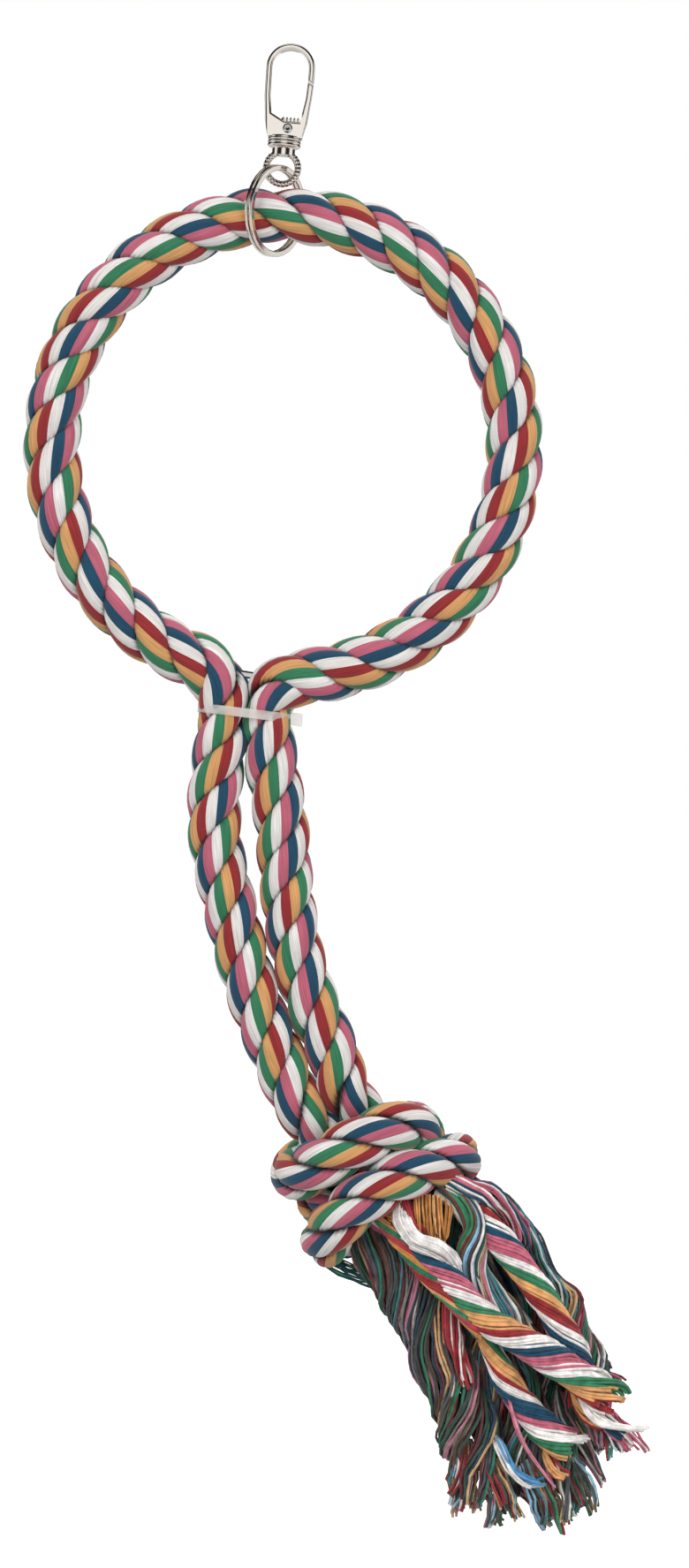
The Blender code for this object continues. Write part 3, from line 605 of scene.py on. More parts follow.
@dataclass(frozen=True)
class LooseYarn:
    """Finish of the tassel: fine cotton threads, dull, each of one colour that varies a little along it."""

    yarns: Yarns
    roughness: float = 0.95
    sheen: float = 0.2
    specular: float = 0.2
    spots: float = 420.0
    spot_tones: Pair = (0.68, 1.2)
    fibres: float = 2600.0
    fibre_relief: float = 0.4

    def material(self) -> bpy.types.Material:
        """Build the material, which reads each thread's shade.

        Returns:
            The material.
        """
        material, graph, shader = new_material(f"cotton_yarn_{self.yarns.name.lower()}")
        place = graph.place()
        tone = graph.toned(graph.noise(place, self.spots, 2.0), *self.spot_tones)
        fine = graph.noise(place, self.fibres, 1.0)
        graph.wire(shader, {"Base Color": graph.bands(graph.read("shade"), self.yarns.value) * tone,
                            "Normal": graph.bump(fine, self.fibre_relief), "Roughness": self.roughness,
                            "Sheen Weight": self.sheen, "Specular IOR Level": self.specular})
        return material


@dataclass(frozen=True)
class Metal:
    """Finish of a plated or drawn metal piece: its tint, its gloss and fine handling marks."""

    name: str
    tint: str
    roughness: float
    mark_spacing: float = 1.2 * MM
    mark_limits: Pair = (0.35, 0.75)
    mark_gloss: Pair = (0.7, 1.6)
    mark_relief: float = 0.04

    def material(self) -> bpy.types.Material:
        """Build the material.

        Returns:
            The material.
        """
        material, graph, shader = new_material(self.name)
        marks = graph.noise(graph.place(), 1 / self.mark_spacing, 4.0, 0.6)
        gloss = graph.ranged(marks, *self.mark_limits, *(self.roughness * share for share in self.mark_gloss))
        graph.wire(shader, {"Base Color": linear(self.tint), "Metallic": 1.0, "Roughness": gloss,
                            "Normal": graph.bump(marks, self.mark_relief)})
        return material


@dataclass(frozen=True)
class NaturalNylon:
    """Finish of the tie: undyed moulded nylon, milky, with a soft gloss and some light through it."""

    tint: str = "#EDE7E1"
    roughness: float = 0.34
    cover: float = 0.42
    refraction: float = 1.53
    milkiness: float = 0.3
    milk_depth: float = 1.0 * MM
    clouds: float = 700.0
    cloud_gloss: Pair = (0.8, 1.3)
    cloud_relief: float = 0.08

    def material(self) -> bpy.types.Material:
        """Build the material.

        Returns:
            The material.
        """
        material, graph, shader = new_material("natural_nylon_moulding")
        cloud = graph.noise(graph.place(), self.clouds, 3.0)
        gloss = graph.toned(cloud, *(self.roughness * share for share in self.cloud_gloss))
        graph.wire(shader, {"Base Color": linear(self.tint), "Alpha": self.cover, "IOR": self.refraction,
                            "Subsurface Weight": self.milkiness, "Subsurface Scale": self.milk_depth,
                            "Roughness": gloss, "Normal": graph.bump(cloud, self.cloud_relief)})
        return material


@dataclass(frozen=True)
class Rope:
    """Three-strand laid rope: strands wound right-handed, each of seven yarns wound the other way.

    Sizes are in mm, for rope of full girth. wander is how far round a strand its yarns drift, in yarns.
    """

    strands: int = 3
    lay: float = 34.0
    core: float = 4.4
    strand: float = 3.65
    flatten: float = 0.97
    widen: float = 1.2
    yarn_turns: float = 2.12
    first_yarns: Triple = (0.0, 1.4, 3.2)
    yarn_shape: float = 0.6
    groove: float = 0.22
    yarn_steps: int = 6
    # painted seam shade: the cosine round a strand at which painted shade starts, and the one at which it is
    # full
    hollow: Pair = (0.4, 0.06)
    wander: float = 2.4
    wander_length: float = 60.0
    wander_apart: float = 7.3

    @classmethod
    def yarn_width(cls) -> float:
        """Width of one yarn at the outside of a strand, in metres."""
        return FULL_TURN * cls.strand * MM / len(Dye)

    def tree(self) -> Graph:
        """Build the tree that winds strands round a path.

        Returns:
            The graph of the geometry node tree.
        """
        graph, size = new_tree("laid_rope", Float=("Lay", "Core Radius", "Strand Radius", "Yarn Turns",
                                                   "Groove", "Wander"))
        travel, girth, lag, around = (graph.named(name) for name in ("travel", "girth", "lag", "around"))
        along, side, across, out, centre = (
            graph.named(name, "FLOAT_VECTOR") for name in ("along", "side", "across", "out", "centre"))
        line = graph.add("GeometryNodeMeshToCurve", size["Geometry"])
        yarns = len(Dye)
        laps = travel / size["Lay"]
        reach = size["Core Radius"] * girth
        section = graph.add("GeometryNodeResampleCurve", graph.add("GeometryNodeCurvePrimitiveLine"),
                            into={"Count": yarns * self.yarn_steps + 1})
        profile = graph.stored(section, "around", graph.add("GeometryNodeSplineParameter"))
        joined = graph.add("GeometryNodeJoinGeometry")
        for i in range(self.strands):
            cosine, sine = graph.cos_sin(laps + i / self.strands)
            spoke = side * cosine + across * sine
            first_yarn = self.yarn_turns * i / self.strands + self.first_yarns[i] / yarns
            strand = graph.stored(graph.stored(line, "out", spoke), "lag", first_yarn)
            strand = graph.add("GeometryNodeSetPosition", strand, into={"Offset": spoke * reach})
            strand = graph.stored(strand, "centre", graph.add("GeometryNodeInputPosition"))
            graph.plug(joined.socket.node.inputs[0], graph.add("GeometryNodeCurveToMesh", strand, profile))
        drift = graph.drift(lag * self.wander_apart + travel * (1 / (self.wander_length * MM)))
        cosine, sine = graph.cos_sin(around - (laps * size["Yarn Turns"] + lag) + drift * size["Wander"])
        slope = reach * FULL_TURN / size["Lay"]
        flank = graph.vector("NORMALIZE", graph.vector("CROSS_PRODUCT", along, out) - along * slope)
        ridge = graph.math("ABSOLUTE", graph.math("SINE", around * (yarns * math.pi))) ** self.yarn_shape
        radius = (size["Strand Radius"] - (1.0 - ridge) * size["Groove"]) * girth
        spoke = out * (cosine * self.flatten) + flank * (sine * self.widen)
        # Painted shade: a share that rises from nought to one as the surface turns in towards the next
        # strand; the rope material darkens the colour by it.
        made = graph.stored(joined, "hollow", graph.ranged(cosine, *self.hollow, 0.0, 1.0, smooth=True))
        made = graph.stored(made, "yarn", around * float(yarns), "CORNER")
        made = graph.stored(made, "run", travel)
        made = graph.add("GeometryNodeSetPosition", made, into={"Position": centre + spoke * radius})
        graph.end(made, size["Material"])
        return graph

    def piece(self, name: str, path: Path, graph: Graph, material: bpy.types.Material) -> bpy.types.Object:
        """Wind a stretch of the rope.

        Args:
            name: the piece's name.
            path: the stretch of the rope's path.
            graph: the rope's node tree.
            material: the rope's material.

        Returns:
            The piece.
        """
        sizes = {"Lay": self.lay * MM, "Core Radius": self.core * MM, "Strand Radius": self.strand * MM,
                 "Yarn Turns": self.yarn_turns, "Groove": self.groove * MM, "Wander": self.wander / len(Dye),
                 "Material": material}
        return grow(name, path.chain(name), graph, sizes, ("yarn", "run", "hollow"))


@dataclass(frozen=True)
class RopeRun:
    """The whole rope's route: up from the knot, round the hoop and down into the knot again.

    Sizes are in mm. A girth is a share of the full rope, and its reach is the length in which it comes on.
    """

    step: float = 1.0
    left_leaves_at: float = math.radians(245.0)
    left_blend: float = math.radians(4.6)
    left_bend: Route = ((0.0, 0.0), (-0.01, 0.29), (0.19, 0.6), (0.53, 0.85))
    left_step: float = 3.0
    right_bend_radius: float = 9.0
    right_points: int = 7
    hoop_points: int = 58
    tie_clear: float = 2.5
    ease: float = 0.4
    ease_rounds: int = 12
    pinched: float = 0.80
    pinch_reach: float = 6.5
    pinch_shape: float = 1.5
    pinch_width: float = 16.0
    leg_girth: float = 0.95
    leg_reach: float = 20.0
    leg_step: float = 5.0
    knot_girth: float = 0.90
    knot_reach: float = 12.0
    knot_entry: float = 5.3
    link_girth: float = 0.87
    link_reach: float = 8.0
    end_girth: float = 0.5
    end_reach: float = 12.0
    left_leg: Route = (
        (0, 0), (-0.9, 7), (-1.9, 15), (-2.4, 23), (-1.9, 30), (-0.7, 37), (1.2, 44.5),
        (3.4, 54), (6.5, 66), (10.6, 78), (15.6, 90))
    right_leg: Route = (
        (12.2, 0), (13, 7), (14.3, 15), (15.7, 23), (16.5, 30), (16.9, 37), (17.6, 44.5),
        (18.8, 54), (21.6, 66), (25.9, 78), (31, 89.5))

    def hoop(self) -> list[Pair]:
        """Lay the centre line from the left knuckle up, round the hoop and down to the right one.

        Returns:
            Its points, as pairs of right and up.
        """
        left_x, knuckle_z = LEFT_KNUCKLE
        right_x = RIGHT_KNUCKLE[0]
        leave = arc(RING_CENTRE, RING_RADIUS, self.left_leaves_at, 0.0, 1)[0]
        bend_x = right_x + self.right_bend_radius
        rejoin = -math.pi / 2 + math.asin((bend_x - RING_CENTRE[0]) / RING_RADIUS)
        bend_centre = (bend_x, RING_CENTRE[1] + RING_RADIUS * math.sin(rejoin) - self.right_bend_radius)
        straight = TIE_HEIGHT + self.tie_clear
        swing = (left_x - leave[0], leave[1] - straight)
        bend = [(left_x - share * swing[0], straight + rise * swing[1]) for share, rise in self.left_bend]
        bend += [leave, arc(RING_CENTRE, RING_RADIUS, self.left_leaves_at - self.left_blend, 0.0, 1)[0]]
        bend = [tuple(point) for point in smooth_route(bend, self.left_step)]
        start = self.left_leaves_at - 2 * self.left_blend
        hoop = arc(RING_CENTRE, RING_RADIUS, start, rejoin + self.left_blend, self.hoop_points)
        turn_down = arc(bend_centre, self.right_bend_radius, math.pi / 2, math.pi, self.right_points)
        return [LEFT_KNUCKLE, *bend, *hoop, *turn_down, (right_x, straight), (right_x, knuckle_z)]

    def leg(self, route: Route, knot: Points) -> Points:
        """Lay the centre line of a leg from its knuckle to the knot.

        Args:
            route: the leg's own points, right and down from the left knuckle.
            knot: the leg's way through the knot.

        Returns:
            The leg's points.
        """
        inward = (knot[1] - knot[0]) / np.linalg.norm(knot[1] - knot[0])
        places = [np.array([LEFT_KNUCKLE[0] + x, 0.0, LEFT_KNUCKLE[1] - z]) for x, z in route]
        places.append(knot[0] - inward * self.knot_entry)
        return np.vstack([smooth_route(places, self.leg_step), knot[0]])

    def path(self, left_knot: Points, right_knot: Points) -> Path:
        """Join the knot's two passes, the legs and the hoop into one path.

        Args:
            left_knot: the left leg's way through the knot.
            right_knot: the right leg's way through it.

        Returns:
            The path, from the left leg's end in the knot to the right leg's.
        """
        left, right = self.leg(self.left_leg, left_knot), self.leg(self.right_leg, right_knot)
        hoop = np.array([(x, 0.0, z) for x, z in self.hoop()])
        line = np.vstack([left_knot[::-1], left[::-1][1:], hoop[1:], right[1:], right_knot[1:]])
        line = spread(line, self.step)
        for _ in range(self.ease_rounds):
            line[1:-1] += self.ease * ((line[:-2] + line[2:]) / 2 - line[1:-1])
        line = spread(line, self.step)
        return Path.through(line * MM, self.girth(line, np.vstack([left_knot, right_knot])), (0.0, 1.0, 0.0))

    def girth(self, line: Points, knot: Points) -> Points:
        """Find how thick the rope is along its way.

        Args:
            line: the rope's points.
            knot: those of the knot.

        Returns:
            The girth at each point.
        """
        top = np.array([RING_CENTRE[0], 0.0, RING_CENTRE[1] + RING_RADIUS])
        from_knot = np.linalg.norm(line[:, None] - knot[None], axis=2).min(axis=1)
        from_link = np.linalg.norm(line - top, axis=1)
        from_tie = np.abs(line[:, 2] - TIE_HEIGHT)
        from_end = np.minimum(np.arange(len(line)), np.arange(len(line))[::-1]) * self.step
        below = np.clip((RING_CENTRE[1] - RING_RADIUS - line[:, 2]) / self.leg_reach, 0.0, 1.0)
        girth = 1.0 + (self.leg_girth - 1.0) * below
        girth += (self.knot_girth - girth) * np.clip(1.0 - from_knot / self.knot_reach, 0.0, 1.0)
        pinch = np.clip(1.0 - from_tie / self.pinch_reach, 0.0, 1.0) ** self.pinch_shape
        girth += (self.pinched - girth) * pinch * (np.abs(line[:, 0] - TIE_MIDDLE) < self.pinch_width)
        girth *= 1.0 + (self.link_girth - 1.0) * np.clip(1.0 - from_link / self.link_reach, 0.0, 1.0)
        return girth * np.interp(from_end, [0.0, self.end_reach], [self.end_girth, 1.0])


@dataclass(frozen=True)
class Knot:
    """Overhand knot in the two legs: a route for each, drawn tight as in the solids.

    Sizes are in mm. own_apart is how many ropes apart, along one leg, two places push each other away.
    """

    centre: Pair = (42.9, 125.0)
    lean: float = math.radians(24.8)
    rope: float = 10.2
    gap: float = 0.6
    own_apart: float = 1.7
    step: float = 3.0
    rounds: int = 500
    pulls: Pair = (0.03, 0.005)
    settles_at: float = 0.75
    push: float = 0.45
    crowding: float = 0.35
    left: Route = (
        (-9.8, 0.5, -26.5), (-8.8, 3, -19), (-7.5, 6, -10), (-6.5, 8.5, -1), (-10.5, 9.5, 6), (-18, 6.5, 9.5),
        (-23, -1, 8), (-18.5, -10, 3), (-9.5, -15, -1), (1, -16.5, -2.8), (11.5, -14, -3), (20, -7, -1),
        (23, 2.5, 1), (17.5, 11.5, 0), (8, 16.5, -1.5), (-3, 18, -3), (-12.5, 14.5, -4), (-17, 6.5, -4),
        (-14, -1.5, -4), (-7, -5, -1.5), (-1, -3.2, 4.2), (3, 0.8, 11.5), (3.5, 1.5, 19))
    right: Route = (
        (3, 2.2, -24.5), (4, 3.5, -18.5), (7.5, 7.5, -13), (7, 14, -11.5), (-1, 18, -12.5),
        (-10.5, 16.5, -13.5), (-18, 10.5, -14), (-22, 2, -13.5), (-20.5, -7, -12.5), (-12.5, -13.5, -14),
        (-2, -16, -16), (8, -15.5, -16.5), (17, -9.5, -14.5), (21, -0.5, -10.5), (16, 4, -5), (12.5, 4, 3),
        (13.5, 3, 11), (14.5, 2, 18))

    def place(self, u: float, v: float, w: float) -> Points:
        """Turn a place in the knot's frame into a place of the model.

        Args:
            u: across the knot.
            v: away from the viewer.
            w: down its length.

        Returns:
            The place, in mm.
        """
        across = u * math.cos(self.lean) + w * math.sin(self.lean)
        rise = u * math.sin(self.lean) - w * math.cos(self.lean)
        return np.array([LEFT_KNUCKLE[0] + self.centre[0] + across, v,
                         LEFT_KNUCKLE[1] - self.centre[1] + rise])

    def passes(self) -> list[Points]:
        """Draw both routes tight, and push their passes apart to the rope's own width.

        Returns:
            The left leg's points and the right leg's.
        """
        routes = [smooth_route([self.place(*point) for point in route], self.step)
                  for route in (self.left, self.right)]
        owner = np.concatenate([np.full(len(route), i) for i, route in enumerate(routes)])
        number = np.concatenate([np.arange(len(route)) for route in routes])
        first, second = np.triu_indices(len(owner), 1)
        apart_along = np.abs(number[first] - number[second]) * self.step
        far = (owner[first] != owner[second]) | (apart_along >= self.own_apart * self.rope)
        first, second = first[far], second[far]
        points = np.vstack(routes)
        split = len(routes[0])
        free = np.ones(len(points), dtype=bool)
        free[[0, split - 1, split, len(points) - 1]] = False
        for turn in range(self.rounds):
            middle = points.copy()
            middle[1:-1] = (points[:-2] + points[2:]) / 2
            pull = self.pulls[turn >= self.rounds * self.settles_at]
            points[free] += pull * (middle[free] - points[free])
            between = points[first] - points[second]
            distance = np.linalg.norm(between, axis=1)
            short = self.rope + self.gap - distance
            close = short > 0
            way = between[close] / np.maximum(distance[close], 1e-9)[:, None]
            push = way * (self.push * short[close])[:, None]
            moves = np.zeros_like(points)
            counts = np.ones(len(points))
            for ends, move in ((first[close], push), (second[close], -push)):
                np.add.at(moves, ends, move)
                np.add.at(counts, ends, self.crowding)
            points[free] += (moves / counts[:, None])[free]
        return [points[:split], points[split:]]


@dataclass(frozen=True)
class RopeWork:
    """The rope as pieces: the ring, two legs and the knot."""

    rope: Rope = Rope()
    run: RopeRun = RopeRun()
    knot: Knot = Knot()
    finish: CottonRope = CottonRope()

    def stretches(self) -> list[Path]:
        """Cut the rope's path at the knot and in the middle of the tie.

        Returns:
            The stretches of the left pass, the left leg, the ring, the right leg and the right pass.
        """
        left, right = self.knot.passes()
        path = self.run.path(left, right)
        ties = [np.array([x, 0.0, TIE_HEIGHT]) for x in (LEFT_KNUCKLE[0], RIGHT_KNUCKLE[0])]
        inner = [path.nearest(place * MM) for place in (left[0], *ties, right[0])]
        cuts = [0, *inner, len(path.points) - 1]
        return [path.cut(first, last) for first, last in zip(cuts, cuts[1:])]

    def build(self) -> list[bpy.types.Object]:
        """Returns:
            The pieces.
        """
        names = ("rope_knot_left", "rope_leg_left", "rope_ring", "rope_leg_right", "rope_knot_right")
        nodes = ("knot_rope_left", "left_tail_rope", "ring_rope", "right_tail_rope", "knot_rope_right")
        graph, material, stretches = self.rope.tree(), self.finish.material(), self.stretches()
        pieces = []
        for name, node, stretch in zip(names, nodes, stretches):
            piece = self.rope.piece(name, stretch, graph, material)
            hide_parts(node)
            pieces.append(piece)
        knot_left, leg_left, ring, leg_right, knot_right = pieces
        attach(ring, "ring")
        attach(knot_left, "tail")
        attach(knot_right, "tail")
        for leg, knot, stretch, way in ((leg_left, knot_left, stretches[1], -1),
                                        (leg_right, knot_right, stretches[3], 1)):
            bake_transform(leg, "ring", "tail", (-0.0129, 0.0, -0.1815), (-0.0129, 0.0, -0.1975))
            float(stretch.travel[-1] - stretch.travel[0])
        return pieces


class Draw(Enum):
    """Random draws of the threads, each with its own salt."""

    FAN = 17
    DEPTH = 19
    LOCK_END = 29
    THREAD_END = 31
    STREAK_SHADE = 41
    ALONE = 43
    OWN_SHADE = 47
    STRIPE = 53


@dataclass(frozen=True)
class Bundle:
    """A bundle of loose threads: its route in the knot's frame in mm, and how its threads lie and are dyed.

    widths are those at its root, its middle and its tip. WIDTHS_AT says where these are, and LUMPS gives the
    height, the waves and the shift of its uneven outline.
    """

    WIDTHS_AT: ClassVar[tuple[float, ...]] = (0.0, 0.35, 0.9, 1.0)
    LUMPS: ClassVar[Route] = ((0.07, 17.0, 1.0), (0.05, 31.0, 2.0))

    name: str
    route: Route
    widths: Triple
    threads: int
    yarns: Yarns = Yarns.CORE
    striped: bool = False
    twist: float = 12.0
    wave: float = 3.0
    flare: float = 0.3
    trim: float = 0.16
    thread: float = 0.38
    node: str | None = None
    seed: int = 1
    phase: float = 0.0

    def path(self, knot: Knot, step: float) -> Path:
        """Line of the bundle, with its radius as the girth.

        Args:
            knot: the knot that it hangs from.
            step: the spacing of the line's points, in mm.

        Returns:
            The line.
        """
        points = smooth_route([knot.place(*place) for place in self.route], step)
        along = np.linspace(0.0, 1.0, len(points))
        radius = np.interp(along, self.WIDTHS_AT, (*self.widths, self.widths[-1])) / 2
        lumps = 1.0
        for high, waves, shift in self.LUMPS:
            lumps = lumps + high * np.sin(waves * along + shift * self.seed)
        start = FULL_TURN * self.phase
        return Path.through(points * MM, radius * lumps * MM, (math.sin(start), math.cos(start), 0.0))


@dataclass(frozen=True)
class Tassel:
    """Unlaid rope ends: bright twisted strands over dark mixed ones, with loose yarns between them.

    Threads lie in locks, which gather where a bundle opens, and in finer streaks. stirs gives the noise that
    moves a lock, a thread and a streak: its pitch from one to the next, its waves in a metre and its share.
    crimps are for mixed bundles and for striped ones. loop_ends leads from a loop's left end to its right
    one, and loop_hang to where it hangs lowest.
    """

    step: float = 1.8
    sides: int = 5
    golden: float = 0.381966
    locks: float = 11.0
    streaks: float = 26.0
    crimps: Pair = (0.4, 0.12)
    crimp_waves: float = 36.0
    opens_at: float = 0.72
    gather: float = 0.62
    depth_shape: float = 0.36
    lock_depths: Pair = (0.45, 1.0)
    lock_fans: Pair = (-0.2, 1.3)
    freedom: Pair = (1.1, 2.8)
    stirs: Route = ((5.31, 55.0, 1.0), (3.73, 55.0, 0.45), (4.17, 170.0, 0.3))
    thread_ends: Pair = (0.97, 1.0)
    alone: float = 0.45
    stripe_blur: float = 0.035

    bundles: tuple[Bundle, ...] = (
        Bundle("tassel_1", (
            (-1, -7, 4), (1.5, -12.5, 12), (5.5, -16, 24), (12, -18, 42), (21.5, -17, 56), (29.5, -13.5, 70),
            (33, -12, 79), (34.5, -11, 87.5)), (7.0, 7.6, 9.0), 110, Yarns.BRIGHT, striped=True, twist=-27.0,
            wave=0.7, flare=1.2, trim=0.2, thread=0.42, node="tassel_strand_1", seed=3, phase=0.43),
        Bundle("tassel_2", (
            (-8, -2, 4), (-7, -2.6, 16.4), (-5, -3.5, 27), (-3.5, -4, 44), (-4, -4.5, 60), (-6.5, -4, 76),
            (-11, -3, 89)), (11.0, 16.0, 17.5), 230, node="tassel_strand_2", seed=5),
        Bundle("tassel_3", (
            (3.5, -2, 6), (3.6, 0.5, 20.6), (6, 0, 30.5), (9, 0, 45), (9, -1, 60), (8.5, -1.5, 80),
            (8, -1.5, 103)), (11.0, 17.0, 17.5), 230, node="tassel_strand_3", seed=7),
        Bundle("tassel_4", (
            (16, -5, 5), (20.5, -8.5, 14), (24, -11.5, 25), (28, -12.5, 43), (29, -11, 58), (28.5, -7.5, 70),
            (27, -4, 84)), (6.5, 7.2, 8.5), 110, Yarns.BRIGHT, striped=True, twist=-27.0,
            wave=0.7, flare=1.0, trim=0.2, thread=0.42, node="tassel_strand_4", seed=9, phase=0.35),
        Bundle("tassel_5", (
            (19, 3, 8), (24, 5, 21), (26.5, 5.5, 30.5), (27.5, 5, 44), (29, 4.5, 58), (30, 4.5, 72),
            (32, 5, 85)), (11.0, 16.0, 14.0), 230, node="tassel_strand_5", seed=11),
        Bundle("tassel_6", (
            (12.5, 2, 8), (14.6, 3.2, 21.6), (14, 6, 31.5), (13.5, 9, 45), (14, 10, 62), (16, 9, 80),
            (18, 8, 99)), (11.0, 17.0, 17.5), 230, node="tassel_strand_6", seed=13),
        Bundle("frayed_end", (
            (10, -11, 45), (9.5, -12, 54), (10.5, -12, 65), (14, -11, 77), (18, -9, 88)),
            (5.0, 7.0, 9.0), 90, Yarns.BRIGHT, striped=True, twist=-27.0,
            wave=0.8, flare=1.2, trim=0.25, thread=0.42, seed=15, phase=0.45),
        Bundle("white_yarn", (
            (3.3, -13, 4.6), (2.3, -17, 8.9), (3.6, -20, 14.4), (7.7, -20.5, 18.2), (10.2, -17, 23.2),
            (10.5, -12, 28)), (4.0, 4.4, 4.0), 34, Yarns.WHITE, wave=0.5, seed=17),
        Bundle("edge_strand", (
            (-3.2, -12, 4.8), (-0.4, -15.5, 15.2), (1.3, -18, 22.8), (3.6, -18.8, 29), (6.6, -19, 38),
            (9.5, -17, 47)), (3.2, 3.6, 3.0), 40, Yarns.EDGE, striped=True, twist=-34.0,
            wave=0.5, flare=0.3, trim=0.1, thread=0.34, seed=49, phase=0.3),
        Bundle("red_root", ((4.6, -10, 2), (4.4, -14, 6.5), (5.2, -15.5, 11.5), (7, -13, 18)),
               (4.0, 4.6, 3.5), 44, Yarns.WARM, wave=0.8, thread=0.3, seed=47),
        Bundle("curled_core", (
            (15, -8, 6), (18.5, -11, 11), (19.5, -12, 18), (15, -12, 26), (14.5, -11, 34), (17.5, -10, 44),
            (20, -8, 56)), (5.0, 7.5, 8.0), 80, Yarns.TIPS, twist=13.0, wave=1.2, seed=45),
        Bundle("rose_loops", (
            (18, -10, 5), (22, -11.5, 8.5), (26, -10, 12), (29, -6, 19), (29, -1, 27), (27, 4, 33)),
            (5.0, 6.0, 5.0), 40, Yarns.ROSE, wave=1.5, seed=21),
        Bundle("left_wisps", ((-22.5, 2, 7.5), (-18.8, 1, 14.8), (-12.8, 0, 20.5), (-7, -1, 27)),
               (2.6, 4.4, 4.0), 18, Yarns.WISP, wave=1.4, thread=0.24, seed=23),
        Bundle("red_yarns", ((5, -8, 33), (2.5, -11.5, 40), (1, -13, 48), (-0.1, -12, 57.5)),
               (3.0, 5.0, 3.0), 44, Yarns.WARM, wave=1.2, thread=0.3, seed=25),
        Bundle("sky_curls", ((-1, -4, 68), (0.6, -11, 75), (1, -13.5, 82), (4, -13, 87), (8.6, -11, 89)),
               (1.6, 2.6, 3.0), 16, Yarns.SKY, striped=True, wave=1.2, seed=27),
    )
    tufts: tuple[Route, ...] = (
        ((-8, -7, 70), (-12, -8, 80), (-17, -7, 89)),
        ((-4, -8, 76), (-4.5, -9, 85), (-6, -8, 95)),
        ((5, -8, 82), (5.5, -8.5, 92), (4.5, -7, 103)),
        ((13, -5, 82), (14.5, -6, 92), (15, -5, 103)),
        ((26, -4, 70), (27.5, -5, 80), (28.5, -5, 91)),
    )
    first_tuft_seed: int = 31
    tips: tuple[Bundle, ...] = (
        Bundle("tuft_6", ((29, -8, 76), (31, -9, 84), (33, -8, 93)), (4.0, 6.0, 6.0), 50, Yarns.ROSE,
               flare=0.6, trim=0.3, seed=41),
        Bundle("pink_thread", ((8.5, -14, 63), (7.2, -16, 70), (7, -16, 77), (8.4, -15, 85), (10, -13, 92)),
               (0.5, 0.7, 0.7), 5, Yarns.PINK, wave=0.3, thread=0.26, seed=29),
    )
    loops: int = 8
    first_loop: Triple = (8.4, -13.5, 3.2)
    next_loop: Triple = (0.85, 0.0, 0.55)
    loop_ends: Triple = (2.0, 2.0, 1.6)
    loop_hang: Triple = (-4.2, -2.6, 9.1)
    loop_drop: float = 1.25
    loop_bulges: Route = ((-0.3, -2.6, 0.0), (0.5, -1.0, 0.0))
    loop_middle: float = 0.45
    first_loop_seed: int = 60

    def mixed_tufts(self) -> list[Bundle]:
        """Short mixed tufts at the tassel's tips."""
        return [Bundle(f"tuft_{i + 1}", route, (5.0, 7.0, 8.0), 60, Yarns.TIPS, flare=0.9, trim=0.3,
                       seed=self.first_tuft_seed + 2 * i) for i, route in enumerate(self.tufts)]

    def apricot_loops(self) -> list[Bundle]:
        """Hang loops of apricot yarn over the strands' roots, side by side.

        Returns:
            The loops, which differ a little in drop, depth and width.
        """
        made = []
        for i in range(self.loops):
            drop = self.loop_drop + 0.25 * math.sin(2.3 * i)
            nearer, wider = 0.6 * math.sin(1.7 * i), 0.5 * math.cos(1.9 * i)
            left = np.array(self.first_loop) + i * np.array(self.next_loop) - (0.0, nearer, 0.0)
            right = left + self.loop_ends + (wider, 0.0, 0.0)
            low = (left + right) / 2 + np.array(self.loop_hang) * (drop, 1.0, drop)
            down, up = (end + self.loop_middle * (low - end) + bulge
                        for end, bulge in zip((left, right), self.loop_bulges))
            made.append(Bundle(f"apricot_loop_{i + 1}", (left, down, low, up, right), (0.7, 0.9, 0.7), 2,
                               Yarns.APRICOT, wave=0.5, trim=0.02, thread=0.26,
                               seed=self.first_loop_seed + i))
        return made

    def tree(self) -> Graph:
        """Build the tree that lays threads along a bundle's line.

        Returns:
            The graph of the geometry node tree.
        """
        graph, size = new_tree("loose_threads", Int=("Threads", "Seed"), Float=(
            "Thread Radius", "Twist", "Wave", "Flare", "Trim", "Mixed", "Crimp"))
        thread, travel, girth = (graph.named(name) for name in ("thread", "travel", "girth"))
        side, across = (graph.named(name, "FLOAT_VECTOR") for name in ("side", "across"))
        factor = graph.add("GeometryNodeSplineParameter")
        line = graph.add("GeometryNodeMeshToCurve", size["Geometry"])
        copies = graph.add("GeometryNodeDuplicateElements", line, into={"Amount": size["Threads"]},
                           domain="SPLINE")
        lines = graph.stored(copies, "thread", copies.out("Duplicate Index"), "CURVE")
        whole = graph.math("ROUND", thread)
        sector = graph.math("FRACT", thread * self.golden)
        lock = graph.math("FLOOR", sector * self.locks)
        streak = graph.math("FLOOR", sector * self.streaks)

        def chance(low: float, high: Any, draw: Draw, key: Field = whole) -> Field:
            """Draw a number for each thread, or for each lock or streak."""
            return graph.add("FunctionNodeRandomValue", data_type="FLOAT", into={
                "Min": low, "Max": high, "ID": key, "Seed": size["Seed"] + float(draw.value)})

